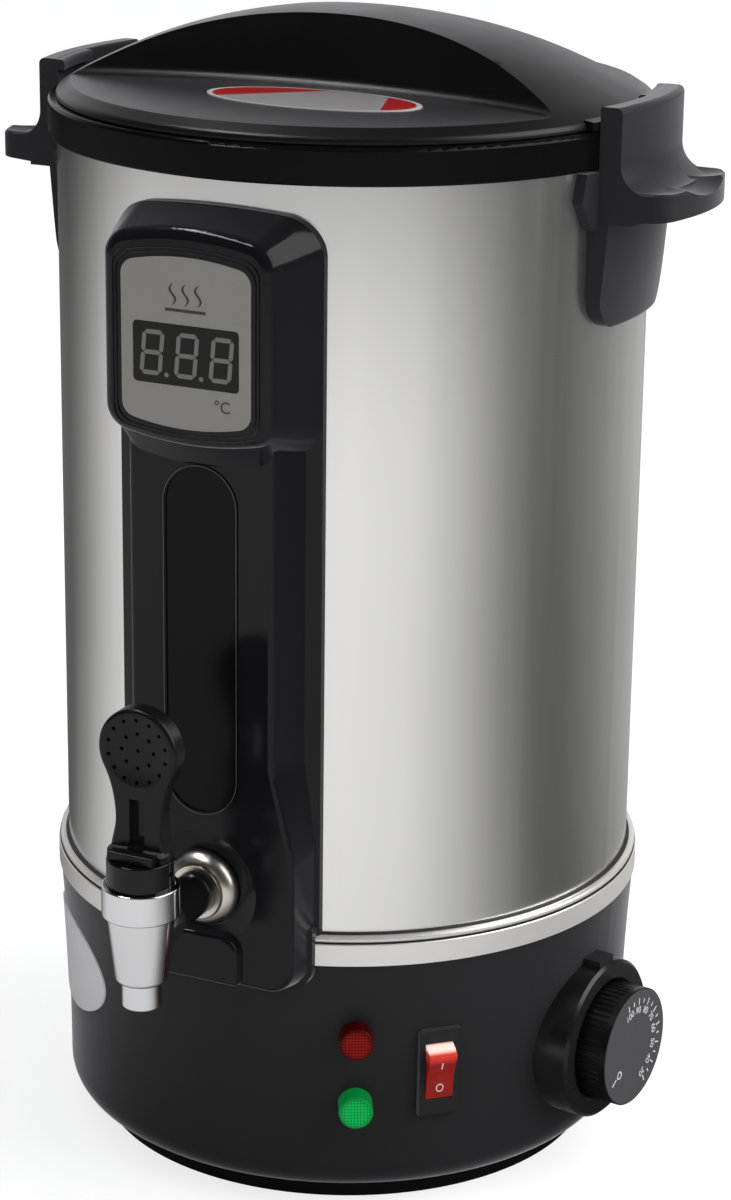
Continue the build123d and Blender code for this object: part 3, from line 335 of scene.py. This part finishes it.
# ---- Finishes ----
# Colour, roughness, specular level, and the settings of moulded() that differ from the usual.
PLASTICS = {
    "satin_black": ((0.0145, 0.0141, 0.0152), 0.38, 0.15, {"grain": 0.012 * MM, "sheen": 0.70}),
    "foot_black": ((0.005, 0.005, 0.005), 0.50, 0.10, {}),
    "gloss_black": ((0.0064, 0.0063, 0.0076), 0.13, 0.16, {"uneven": 0.04, "sheen": 0.60}),
    "rim_black": ((0.0035, 0.0035, 0.0036), 0.20, 0.10, {"uneven": 0.04}),
    "lid_black": ((0.0055, 0.0054, 0.0056), 0.34, 0.32, {"grain": 0.020 * MM, "sheen": 0.09}),
    "handle_black": ((0.0225, 0.0216, 0.0240), 0.42, 0.09, {"grain": 0.012 * MM, "sheen": 0.50}),
    "knob_black": ((0.004, 0.004, 0.0044), 0.32, 0.20, {"grain": 0.010 * MM}),
    "dial_satin": ((0.054, 0.052, 0.056), 0.42, 0.30, {"grain": 0.006 * MM, "sheen": 0.35}),
    "lever_black": ((0.0060, 0.0060, 0.0064), 0.26, 0.20, {"uneven": 0.05}),
    "shank_black": ((0.005, 0.005, 0.005), 0.14, 0.30, {"uneven": 0.04}),
    "bezel_black": ((0.006, 0.006, 0.0063), 0.24, 0.40, {"uneven": 0.04, "sheen": 0.25}),
    "bonnet_black": ((0.004, 0.004, 0.0042), 0.10, 0.24, {"uneven": 0.03}),
    "inlet_black": ((0.009, 0.009, 0.009), 0.34, 0.30, {"grain": 0.015 * MM}),
    "smoked": ((0.010, 0.010, 0.009), 0.20, 0.17, {"uneven": 0.03}),
    "phenolic": ((0.025, 0.018, 0.015), 0.38, 0.50, {}),
    "nylon": ((0.60, 0.59, 0.54), 0.42, 0.50, {}),
    "silicone": ((0.52, 0.51, 0.49), 0.48, 0.50, {}),
}
# Colour, roughness, how often the scratches repeat per metre along x, y and z, and the settings of metal()
# that differ from the usual.
METALS = {
    "pot_steel": ((0.60, 0.60, 0.59), 0.26, (160, 160, 900), {}),
    "ring_steel": ((0.76, 0.735, 0.705), 0.30, (60, 60, 900), {"contrast": 0.03, "share": 0.55}),
    "chrome": ((0.64, 0.64, 0.65), 0.10, (40, 40, 40), {"depth": 0.002 * MM, "contrast": 0.02}),
    "nut_chrome": ((0.62, 0.585, 0.53), 0.30, (300, 300, 300), {}),
    "zinc": ((0.50, 0.50, 0.49), 0.32, (300, 300, 300), {}),
    "aluminium": ((0.62, 0.62, 0.63), 0.40, (200, 200, 200), {"contrast": 0.12}),
    "element": ((0.32, 0.29, 0.26), 0.45, (250, 250, 60), {"contrast": 0.2}),
    "brass": ((0.62, 0.47, 0.24), 0.28, (300, 300, 300), {}),
}


def shades(color, contrast):
    """A colour made darker and lighter by a share."""
    dark = tuple(channel * (1 - contrast) for channel in color)
    light = tuple(min(1.0, channel * (1 + contrast)) for channel in color)
    return dark, light


def moulded(name, color, roughness, specular, grain=0.0, uneven=0.06, sheen=0.0, contrast=0.12):
    """Moulded plastic: faint flow marks in the colour and gloss, with a spark-eroded grain if it has one."""
    material, tree, shader = blank(name, Specular_IOR_Level=specular, Sheen_Weight=sheen,
                                   Sheen_Roughness=0.32, Sheen_Tint=(0.96, 0.93, 1.0, 1))
    flow = noise(tree, FLOW_MARKS, detail=4)
    smudges = noise(tree, SMUDGES, detail=5, roughness=0.6)
    link(tree, shader, Base_Color=tint(tree, flow, *shades(color, contrast)),
         Roughness=spread(tree, smudges, roughness - uneven / 2, roughness + uneven / 2))
    wave = bump(tree, noise(tree, SINKS, detail=2), 0.12 * MM, strength=0.25)
    if grain:
        pores = noise(tree, GRAIN, detail=2, roughness=0.6)
        wave = bump(tree, pores, grain, strength=0.6, onto=wave)
    link(tree, shader, Normal=wave)
    return material


def metal(name, color, roughness, scratches, depth=0.004 * MM, contrast=0.06, share=1.0):
    """Metal with fine scratches drawn out along one direction, and a soft cloud in its gloss."""
    material, tree, shader = blank(name, Metallic=share)
    lines = noise(tree, scratches, detail=4, roughness=0.7)
    cloud = noise(tree, GLOSS_CLOUD, detail=3)
    uneven = computed(tree, "ADD", spread(tree, lines, -0.03, 0.03), spread(tree, cloud, -0.02, 0.02))
    link(tree, shader, Base_Color=tint(tree, lines, *shades(color, contrast)),
         Roughness=computed(tree, "ADD", uneven, roughness), Normal=bump(tree, lines, depth, strength=0.5))
    return material


def barrel_steel():
    """Rolled stainless sheet: very fine upright brushing, slow upright waves, a welded seam at the back."""
    weld = (0.42, 0.40, 0.37, 1)
    material, tree, shader = blank("barrel_steel", Metallic=1.0)
    lines = noise(tree, BRUSHING, detail=4, roughness=0.7)
    waves = noise(tree, ROLLING, detail=2)
    base = tint(tree, lines, (0.735, 0.73, 0.72), (0.785, 0.78, 0.77))
    gloss = computed(tree, "ADD", spread(tree, lines, 0.205, 0.235), spread(tree, waves, -0.02, 0.02))
    place = axes_of(tree, own_place(tree))
    near = computed(tree, "LESS_THAN", computed(tree, "ABSOLUTE", place["X"]), SEAM_HALF)
    seam = product(tree, near, computed(tree, "GREATER_THAN", place["Y"], 0.0))
    soft = bump(tree, waves, 0.3 * MM, strength=0.3)
    link(tree, shader, Base_Color=mixed(tree, seam, base, weld), Roughness=gloss,
         Normal=bump(tree, lines, 0.001 * MM, strength=0.3, onto=soft))
    return material


def felt():
    """Pale glass fibre felt with a deep nap."""
    material, tree, shader = blank("felt", Roughness=0.95)
    fibres = noise(tree, FIBRES, detail=6, roughness=0.8)
    link(tree, shader, Base_Color=tint(tree, fibres, (0.55, 0.52, 0.46), (0.84, 0.81, 0.75)),
         Normal=bump(tree, fibres, 0.6 * MM, strength=0.8))
    return material


def circuit_board():
    """Green board whose digit block, in front of it, is black."""
    black = (0.02, 0.02, 0.02, 1)
    material, tree, shader = blank("circuit_board", Roughness=0.45)
    block = computed(tree, "LESS_THAN", axes_of(tree, own_place(tree))["Y"], BLACK_BLOCK_Y)
    tracks = spread(tree, noise(tree, TRACKS, detail=1), 0, 1)
    green = tint(tree, tracks, (0.01, 0.10, 0.04), (0.03, 0.20, 0.08))
    link(tree, shader, Base_Color=mixed(tree, block, green, black))
    return material


def display_silver():
    """Printed foil with a fine warm sparkle."""
    material, tree, shader = blank("display_silver", Metallic=0.2, Specular_IOR_Level=0.3)
    flakes = noise(tree, SPARKLE, detail=2, roughness=0.7)
    link(tree, shader, Base_Color=tint(tree, flakes, (0.255, 0.243, 0.225), (0.32, 0.306, 0.283)),
         Roughness=spread(tree, flakes, 0.42, 0.52), Normal=bump(tree, flakes, 0.01 * MM, strength=0.4))
    return material


def badge_silver():
    """Plain silver paint with a fine sparkle."""
    material, tree, shader = blank("badge_silver", Metallic=0.2, Specular_IOR_Level=0.3)
    flakes = noise(tree, GRAIN, detail=2, roughness=0.7)
    link(tree, shader, Base_Color=tint(tree, flakes, (0.68, 0.675, 0.69), (0.80, 0.795, 0.81)),
         Roughness=spread(tree, flakes, 0.40, 0.50))
    return material


def lid_badge():
    """Plain oval: a silver edge, a grey middle, and a red stretch at each end with a slanted inner edge."""
    middle, corner = middle_of("lid_badge_plate"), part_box("lid_badge_plate")[1]
    edge_from = 0.90
    right_slant, right_from, left_slant, left_from = 0.35, 24.5 * MM, -1.1, -20.5 * MM
    red, silver = (0.45, 0.008, 0.010, 1), (0.62, 0.61, 0.61, 1)
    material, tree, shader = blank("lid_badge", Metallic=0.15)
    place = axes_of(tree, own_place(tree))
    across = computed(tree, "SUBTRACT", place["X"], middle.x)
    along = computed(tree, "SUBTRACT", place["Y"], middle.y)

    def squared(value, half):
        """Square of a place's share of the way from the middle to the edge."""
        share = computed(tree, "DIVIDE", value, half)
        return computed(tree, "MULTIPLY", share, share)

    reach = computed(tree, "ADD", squared(across, corner.x - middle.x), squared(along, corner.y - middle.y))
    edge = computed(tree, "GREATER_THAN", reach, edge_from)
    right_lean = computed(tree, "MULTIPLY_ADD", along, right_slant, across)
    left_lean = computed(tree, "MULTIPLY_ADD", along, left_slant, across)
    right = computed(tree, "GREATER_THAN", right_lean, right_from)
    left = computed(tree, "LESS_THAN", left_lean, left_from)
    flakes = noise(tree, GRAIN, detail=2, roughness=0.7)
    grey = tint(tree, flakes, (0.30, 0.29, 0.29), (0.38, 0.37, 0.37))
    face = mixed(tree, computed(tree, "MAXIMUM", right, left), grey, red)
    link(tree, shader, Base_Color=mixed(tree, edge, face, silver), Roughness=spread(tree, flakes, 0.32, 0.42))
    return material


def lens(name, node, dark, light, glow):
    """Coloured clear dome, small round prisms in its middle; painted light: dark rim, light middle and
    prisms.
    """
    pitch, painted_shade_radius, painted_light_radius = 1.05 * MM, 6.2 * MM, 2.79 * MM
    prism_rim, prism_top, between_prisms = 0.44, 0.2, 0.3
    height = middle_of(node).z
    material, tree, shader = blank(name, Roughness=0.16, Specular_IOR_Level=0.08, Emission_Color=(*light, 1),
                                   Emission_Strength=glow)
    to_front = {"Vector": own_place(tree), "Rotation": (0, 0, math.radians(-LENS_AZIMUTH))}
    front = add(tree, "Mapping", to_front).outputs["Vector"]
    to_pitch = {"Vector": front, "Location": (0, 0, -height / pitch), "Scale": (1 / pitch, 0, 1 / pitch)}
    flat = add(tree, "Mapping", to_pitch).outputs["Vector"]
    away = add(tree, "VectorMath", {0: flat}, operation="LENGTH").outputs["Value"]
    middle = smooth_step(tree, away, painted_shade_radius / pitch, painted_light_radius / pitch)
    rows = add(tree, "TexVoronoi", {"Vector": flat, "Scale": 1.0, "Randomness": 0.0}).outputs["Distance"]
    prisms = product(tree, smooth_step(tree, rows, prism_rim, prism_top), middle)
    # Painted light: the middle and the prisms are lighter in the base colour, the rim darker.
    lit = computed(tree, "MULTIPLY_ADD", middle, between_prisms, prisms)
    link(tree, shader, Base_Color=tint(tree, lit, dark, light),
         Normal=bump(tree, prisms, 0.1 * MM, strength=0.5))
    return material


def rocker_red():
    """Translucent red plastic with painted light and glow towards its raised end, and a pale painted
    highlight.
    """
    # Painted light: the lit red, the pale highlight and the glows are set by height, not cast by a lamp.
    painted_lit_red, painted_highlight = (0.52, 0.035, 0.026, 1), (0.85, 0.60, 0.54, 1)
    painted_dark_glow, painted_lit_glow, painted_highlight_glow = (0.02, 0.001, 0.001, 1), (0.20, 0.012, 0.009, 1), (0.66, 0.40, 0.34, 1)
    material, tree, shader = blank("red_rocker", Roughness=0.18, Specular_IOR_Level=0.12, Coat_Weight=0.1,
                                   Coat_Roughness=0.06, Emission_Strength=0.7)
    height = axes_of(tree, own_place(tree))["Z"]
    lit, edge = smooth_step(tree, height, *ROCKER_PAINTED_LIGHT), smooth_step(tree, height, *ROCKER_PAINTED_HIGHLIGHT)

    def shaded(body, middle, top):
        """Colour of the body, blended to the painted lit part and then to the pale painted highlight."""
        return mixed(tree, edge, mixed(tree, lit, body, middle), top)

    cloud = tint(tree, noise(tree, RED_CLOUD, detail=2), (0.21, 0.011, 0.009), (0.32, 0.018, 0.014))
    link(tree, shader, Base_Color=shaded(cloud, painted_lit_red, painted_highlight),
         Emission_Color=shaded(painted_dark_glow, painted_lit_glow, painted_highlight_glow))
    return material


def printed(name, color, roughness=0.5, contrast=0.14):
    """Opaque flat ink with a slightly uneven coat, also used for painted shade and highlight lines."""
    material, tree, shader = blank(name, Roughness=roughness)
    dark = shades(color, contrast)[0]
    link(tree, shader, Base_Color=tint(tree, noise(tree, INK_COAT, detail=2), dark, color))
    return material


def finishes():
    """Every finish of the carried-over nodes and of the dial's disc, by name."""
    made = {
        "barrel_steel": barrel_steel(), "felt": felt(), "circuit_board": circuit_board(),
        "display_silver": display_silver(), "badge_silver": badge_silver(), "lid_badge": lid_badge(),
        "red_lens": lens("red_lens", "lamp_lens_red", dark=(0.020, 0.0005, 0.0005),
                         light=(0.30, 0.008, 0.006), glow=0.03),
        "green_lens": lens("green_lens", "lamp_lens_green", dark=(0.0005, 0.10, 0.018),
                           light=(0.006, 0.46, 0.09), glow=0.22),
        "red_rocker": rocker_red(),
    }
    for name, (color, roughness, specular, settings) in PLASTICS.items():
        made[name] = moulded(name, color, roughness, specular, **settings)
    for name, (color, roughness, scratches, settings) in METALS.items():
        made[name] = metal(name, color, roughness, scratches, **settings)
    return made


NODE_FINISH = {
    "satin_black": ("base_shell", "switch_housing"),
    "bezel_black": ("knob_bezel",),
    "bonnet_black": ("tap_bonnet",),
    "foot_black": ("foot_pan",),
    "gloss_black": ("front_panel",),
    "rim_black": ("top_rim", "oval_inlay"),
    "lid_black": ("lid_shell",),
    "handle_black": ("handle_right", "handle_left"),
    "knob_black": ("thermostat_knob",),
    "lever_black": ("tap_lever",),
    "shank_black": ("tap_shank",),
    "phenolic": ("thermal_cutout", "thermostat_body"),
    "nylon": ("terminal_block", "lamp_holders"),
    "silicone": ("lid_seal", "tap_seals", "valve_washer"),
    "inlet_black": ("inlet_socket",),
    "barrel_steel": ("barrel",),
    "pot_steel": ("inner_pot", "lid_liner"),
    "ring_steel": ("trim_ring",),
    "chrome": ("tap_body",),
    "nut_chrome": ("tap_escutcheon",),
    "zinc": ("foot_screws", "lid_screws", "handle_screws", "panel_screws", "heater_clamp",
             "thermostat_screws", "inlet_screws", "valve_stem", "stem_pin", "valve_spring",
             "thermostat_shaft"),
    "aluminium": ("heater_plate",),
    "element": ("heating_element",),
    "brass": ("temperature_probe", "inlet_pins", "tap_lock_nut"),
    "felt": ("insulation_sleeve",),
    "circuit_board": ("display_board",),
    "display_silver": ("display_plate",),
    "badge_silver": ("base_badge_plate",),
    "lid_badge": ("lid_badge_plate",),
    "smoked": ("display_window",),
    "red_lens": ("lamp_lens_red",),
    "green_lens": ("lamp_lens_green",),
    "red_rocker": ("rocker",),
}


def dress_nodes(made):
    """Gives every carried-over node its finish."""
    for finish, members in NODE_FINISH.items():
        for name in members:
            slots = nodes[name].data.materials
            slots.clear()
            slots.append(made[finish])


# ---- Signs, small marks, and painted shade and highlight lines ----
def segment(length, width, x, y, upright):
    """One bar of a digit: a stroke with pointed ends."""
    half, side = length / 2, width / 2
    lower = [(-half, 0), (-half + side, -side), (half - side, -side)]
    shape = lower + [(-u, -v) for u, v in lower]
    return [(x - v, y + u) if upright else (x + u, y + v) for u, v in shape]


def digit_outlines(middle):
    """Seven bars of an unlit digit, leaning a little to the right."""
    width, height, stroke, gap = 6.3 * MM, 12.8 * MM, 1.4 * MM, 0.14 * MM
    lean = math.tan(math.radians(5))
    bars = [segment(width - 2 * gap, stroke, 0, y, False) for y in (-height / 2, 0, height / 2)]
    for x in (-width / 2, width / 2):
        for y in (-height / 4, height / 4):
            bars.append(segment(height / 2 - 2 * gap, stroke, x, y, True))
    return [[(middle + x + y * lean, y) for x, y in outline] for outline in bars]


def display_digits():
    """Three unlit digits on the window, with a point after the first and the second."""
    pitch, shift, thick = 12.0 * MM, 0.3 * MM, 0.12 * MM
    point_radius, point_x, point_y = 0.75 * MM, 5.0 * MM, -6.6 * MM
    place = facing(0.0, front_of("display_window"), middle_of("display_window").z)
    outlines = []
    for index in (-1, 0, 1):
        middle = shift + index * pitch
        outlines += digit_outlines(middle)
        if index < 1:
            outlines.append(disc(point_radius, middle + point_x, point_y))
    mesh = sheet_mesh("display_digits", outlines, thick, place)
    ink = printed("digit_grey", (0.17, 0.17, 0.165), roughness=0.35)
    piece("display_digits", mesh, "heater", ink)


def unit_sign(ink):
    """Degree Celsius, below the window."""
    size, thick = 5.2 * MM, 0.1 * MM
    mesh = text_mesh("unit_sign", "°C", size, thick)
    place = facing(0.0, front_of("display_plate"), UNIT_Z)
    mesh.transform(place @ Matrix.Translation((UNIT_X, 0, thick / 2)))
    piece("unit_sign", mesh, "heater", ink)


def warmth_sign(ink):
    """Three rising waves over a short line, the usual sign for heat."""
    line_length, line_width, line_y = 14.0 * MM, 0.9 * MM, -5.0 * MM
    pitch, low, height, stroke, swing = 4.4 * MM, -3.4 * MM, 6.6 * MM, 0.85 * MM, 0.95 * MM
    steps, tip, thick = 16, 0.12, 0.1 * MM
    outlines = [bar(line_length, line_width, 0, line_y)]
    for x in (-pitch, 0.0, pitch):
        left, right = [], []
        for index in range(steps + 1):
            share = index / steps
            sway = swing * math.sin(2 * math.pi * share)
            taper = stroke / 2 * math.sin(math.pi * (tip + (1 - 2 * tip) * share))
            left.append((x + sway - taper, low + height * share))
            right.append((x + sway + taper, low + height * share))
        outlines.append(left + right[::-1])
    place = facing(0.0, front_of("display_plate"), WARMTH_Z)
    mesh = sheet_mesh("warmth_sign", outlines, thick, place)
    piece("warmth_sign", mesh, "heater", ink)


def dial_face(finish):
    """Printed cover disc on the knob's face, with a fine turned ring and a rounded edge."""
    sides, rounding = 96, 0.5 * MM
    groove_start, groove_end, groove_depth = 6.0 * MM, 6.6 * MM, 0.05 * MM
    rings = ((groove_start, DIAL_THICK), ((groove_start + groove_end) / 2, DIAL_THICK - groove_depth),
             (groove_end, DIAL_THICK), (DIAL_RADIUS - rounding, DIAL_THICK),
             (DIAL_RADIUS - 0.3 * rounding, 0.7 * DIAL_THICK), (DIAL_RADIUS, 0.0))
    shape = bmesh.new()
    centre = shape.verts.new((0, 0, DIAL_THICK))
    loops = [[shape.verts.new((x, y, height)) for x, y in disc(radius, sides=sides)]
             for radius, height in rings]
    for k in range(sides):
        shape.faces.new((centre, loops[0][k], loops[0][(k + 1) % sides]))
    for inner, outer in zip(loops, loops[1:]):
        for k in range(sides):
            after = (k + 1) % sides
            shape.faces.new((inner[k], outer[k], outer[after], inner[after]))
    mesh = mesh_of("dial_face", shape)
    mesh.transform(facing(DIAL_AZIMUTH, DIAL_OUT, middle_of("thermostat_knob").z))
    piece("dial_face", mesh, "knob", finish)


def dial_marks():
    """Scale from 30 to 100 with a tick at and between the numbers, and an off mark."""
    first_angle, angle_step, first_number, number_step, count = 154.0, -24.4, 30, 10, 8
    tick_radius, tick_width, long_tick, short_tick = 16.1 * MM, 0.5 * MM, 2.4 * MM, 1.6 * MM
    number_radius, number_size, thick = 12.9 * MM, 3.5 * MM, 0.1 * MM
    off_angle, off_radius, off_length, off_width = 237.0, 15.7 * MM, 3.2 * MM, 0.6 * MM
    circle_angle, circle_radius, circle_outer, circle_inner = 235.0, 12.0 * MM, 1.5 * MM, 1.0 * MM
    place = facing(DIAL_AZIMUTH, DIAL_OUT + DIAL_THICK, middle_of("thermostat_knob").z)

    def polar(angle, radius):
        """Point at an angle that counts clockwise from the top."""
        turn = math.radians(angle)
        return radius * math.sin(turn), radius * math.cos(turn)

    def tick(angle, radius, length, width):
        return bar(length, width, *polar(angle, radius), math.radians(90 - angle))

    outlines = []
    for index in range(2 * count - 1):
        length = short_tick if index % 2 else long_tick
        outlines.append(tick(first_angle + angle_step * index / 2, tick_radius, length, tick_width))
    outlines.append(tick(off_angle, off_radius, off_length, off_width))
    outlines += ring_outlines(*polar(circle_angle, circle_radius), circle_outer, circle_inner)
    marks = [sheet_mesh("ticks", outlines, thick, place)]
    for index in range(count):
        angle = first_angle + angle_step * index
        x, y = polar(angle, number_radius)
        number = text_mesh("number", str(first_number + number_step * index), number_size, thick)
        number.transform(place @ Matrix.Translation((x, y, thick / 2)) @ turned(-angle, "Z"))
        marks.append(number)
    ink = printed("dial_ink", (0.62, 0.62, 0.64), roughness=0.4)
    piece("dial_marks", merged("dial_marks", marks), "knob", ink)


def rocker_marks():
    """Pale I on the upper face of the rocker and O on the lower."""
    thick, line_width, line_length = 0.08 * MM, 0.5 * MM, 2.8 * MM
    outer_radius, inner_radius, stretch = 1.35 * MM, 0.98 * MM, 1.2
    upper_out, upper_z, upper_tilt = 103.5 * MM, 54.2 * MM, 21.4
    lower_out, lower_z, lower_tilt = 101.15 * MM, 45.3 * MM, 8.7
    upper = facing(ROCKER_AZIMUTH, upper_out, upper_z) @ turned(upper_tilt, "X")
    lower = facing(ROCKER_AZIMUTH, lower_out, lower_z) @ turned(lower_tilt, "X")
    line = sheet_mesh("line", [bar(line_width, line_length)], thick, upper)
    ring = sheet_mesh("ring", ring_outlines(0, 0, outer_radius, inner_radius, stretch), thick, lower)
    ink = printed("switch_ink", (0.66, 0.58, 0.56), roughness=0.4)
    piece("rocker_marks", merged("rocker_marks", [line, ring]), "rocker", ink)


def ring_shade_lines():
    """Dark rings as painted shade: in the trim ring's groove and where the barrel stands in the ring."""
    groove = ((99.8, 98.32), (101.15, 98.32), (101.15, 98.72), (99.8, 98.72))
    joint = ((97.9, 100.9), (99.2, 100.9), (98.6, 101.45), (97.9, 101.5))
    meshes = [lathe_mesh("shade_bead", [(radius * MM, height * MM) for radius, height in profile])
              for profile in (groove, joint)]
    # Painted shade: flat dark paint, not a seal.
    ink = printed("painted_shade_black", (0.012, 0.012, 0.012), roughness=0.6)
    piece("ring_shade_lines", merged("ring_shade_lines", meshes), "heater", ink)


def oval_painted_highlight():
    """Painted highlight: a fine light grey line round the long oval cover, where its edge catches light."""
    half, low, high, width, thick, sides = 12.95 * MM, 141.85 * MM, 257.45 * MM, 0.22 * MM, 0.05 * MM, 48

    def rail(grow):
        """Points along the oval, moved outwards: its upper round end, then its lower one."""
        radius = half + grow
        ends = [(centre, start + math.pi * k / sides)
                for centre, start in ((high - half, 0.0), (low + half, math.pi)) for k in range(sides + 1)]
        return [(radius * math.cos(turn), centre + radius * math.sin(turn)) for centre, turn in ends]

    outer, inner = rail(width / 2), rail(-width / 2)
    quads = []
    for k in range(len(outer)):
        after = (k + 1) % len(outer)
        quads.append([outer[k], outer[after], inner[after], inner[k]])
    mesh = sheet_mesh("oval_painted_highlight", quads, thick, facing(0.0, front_of("oval_inlay"), 0.0))
    # The grey line is a painted highlight, not print.
    ink = printed("highlight_grey", (0.085, 0.085, 0.09), roughness=0.3)
    piece("oval_painted_highlight", mesh, "heater", ink)


# ---- Room, floor, lamp and camera ----
def shown_by_ray(tree, plain, shiny, camera):
    """Shader that shows one side to matt things, one to shiny and clear things and one to the camera."""
    seen = seen_share(tree)
    unseen = add(tree, "MixShader", {0: seen["shiny"], 1: plain.outputs[0], 2: shiny.outputs[0]})
    whole = add(tree, "MixShader", {0: seen["camera"], 1: unseen.outputs[0], 2: camera.outputs[0]})
    return whole.outputs[0]


def studio_walls(tree, direction):
    """Brightness of the studio above the table: a pale wall behind, one strip of light, dark elsewhere."""
    axes = axes_of(tree, direction)

    def patch(edges):
        """1 in a patch of the surround and 0 outside, with soft edges."""
        return product(tree, *(smooth_step(tree, axes[axis], dark, full) for axis, dark, full in edges))

    walls = computed(tree, "MULTIPLY_ADD", patch(WALL_EDGES), WALL_LIGHT, DARK_ROOM)
    return computed(tree, "MULTIPLY_ADD", patch(STRIP_EDGES), STRIP_LIGHT, walls)


def light_room():
    """Even light, a white background, and a studio that only shiny and clear things show."""
    scene = bpy.context.scene
    scene.view_settings.view_transform = "Standard"
    scene.world = scene.world or bpy.data.worlds.new("studio")
    scene.world.use_nodes = True
    tree = scene.world.node_tree
    tree.nodes.clear()
    walls = studio_walls(tree, add(tree, "TexCoord").outputs["Generated"])
    lit = add(tree, "Background", {"Color": ROOM_COLOR, "Strength": ROOM_LIGHT})
    mirrored = add(tree, "Background", {"Color": MIRRORED_COLOR, "Strength": walls})
    backdrop = add(tree, "Background", {"Color": WHITE, "Strength": 1.0})
    add(tree, "OutputWorld", {"Surface": shown_by_ray(tree, lit, mirrored, backdrop)})


def table_glow(tree):
    """Brightness of the table in shiny things: by azimuth round the object, falling off with distance."""
    place = own_place(tree)
    axes = axes_of(tree, place)
    azimuth = computed(tree, "ARCTAN2", axes["X"], computed(tree, "MULTIPLY", axes["Y"], -1.0))
    bands = level_ramp(tree, ranged(tree, azimuth, -math.pi, math.pi),
                       [((degrees + 180) / 360, level) for degrees, level in TABLE_BANDS])
    reach = add(tree, "VectorMath", {0: place}, operation="LENGTH").outputs["Value"]
    fall = level_ramp(tree, ranged(tree, reach, 0.0, TABLE_REACH),
                      [(distance / TABLE_REACH, level) for distance, level in TABLE_FALL])
    return mixed(tree, 1.0, bands, fall, blend_type="MULTIPLY")


def floor_finish():
    """Pale table, brighter for the camera, with its own glow in shiny things."""
    material = bpy.data.materials.new("floor")
    material.use_nodes = True
    tree = material.node_tree
    tree.nodes.clear()
    pale = add(tree, "BsdfDiffuse", {"Color": FLOOR_PALE})
    shaded = add(tree, "BsdfDiffuse", {"Color": FLOOR_SHADED})
    glow = add(tree, "Emission", {"Color": WHITE, "Strength": FLOOR_GLOW})
    shown = add(tree, "AddShader", {0: shaded.outputs[0], 1: glow.outputs[0]})
    mirrored = add(tree, "Emission", {"Color": table_glow(tree), "Strength": 1.0})
    add(tree, "OutputMaterial", {"Surface": shown_by_ray(tree, pale, mirrored, shown)})
    return material


def lay_floor():
    corners = bar(2 * FLOOR_HALF, 2 * FLOOR_HALF)
    mesh = sheet_mesh("floor", [corners], FLOOR_THICK, Matrix.Translation((0, 0, -FLOOR_THICK)))
    floor = linked("floor", mesh)
    floor.data.materials.append(floor_finish())


def hang_lamp():
    """One large soft lamp on the +X side, a little behind the object."""
    data = bpy.data.lights.new("key", "AREA")
    data.shape, data.size, data.energy = "SQUARE", KEY_SIZE, KEY_POWER
    lamp = linked("key", data)
    lamp.location = around(KEY_AZIMUTH, KEY_DISTANCE, KEY_HEIGHT)
    aim = Vector((0, 0, KEY_AIM)) - lamp.location
    lamp.rotation_euler = aim.to_track_quat("-Z", "Y").to_euler()


def place_camera():
    """Camera at the photograph's viewing angle, fitted to the object's round edges."""
    yaw, pitch, roll = (math.radians(angle) for angle in (CAMERA_YAW, CAMERA_PITCH, CAMERA_ROLL))
    ahead = Vector((math.sin(yaw) * math.cos(pitch), math.cos(yaw) * math.cos(pitch), -math.sin(pitch)))
    level = Vector((math.cos(yaw), -math.sin(yaw), 0.0))
    over = level.cross(ahead)
    right = level * math.cos(roll) + over * math.sin(roll)
    up = over * math.cos(roll) - level * math.sin(roll)
    place = Matrix((right, up, -ahead)).transposed().to_4x4()
    place.translation = Vector((0, -CAMERA_DISTANCE, CAMERA_HEIGHT))
    data = bpy.data.cameras.new("camera")
    data.lens, data.sensor_width = CAMERA_LENS, CAMERA_SENSOR
    camera = linked("camera", data)
    camera.matrix_world = turned(CAMERA_AZIMUTH, "Z") @ place
    bpy.context.scene.camera = camera


place_camera()
made_finishes = finishes()
dress_nodes(made_finishes)
display_digits()
plate_ink = printed("plate_ink", (0.035, 0.034, 0.033))
unit_sign(plate_ink)
warmth_sign(plate_ink)
dial_face(made_finishes["dial_satin"])
dial_marks()
rocker_marks()
ring_shade_lines()
oval_painted_highlight()
light_room()
lay_floor()
hang_lamp()
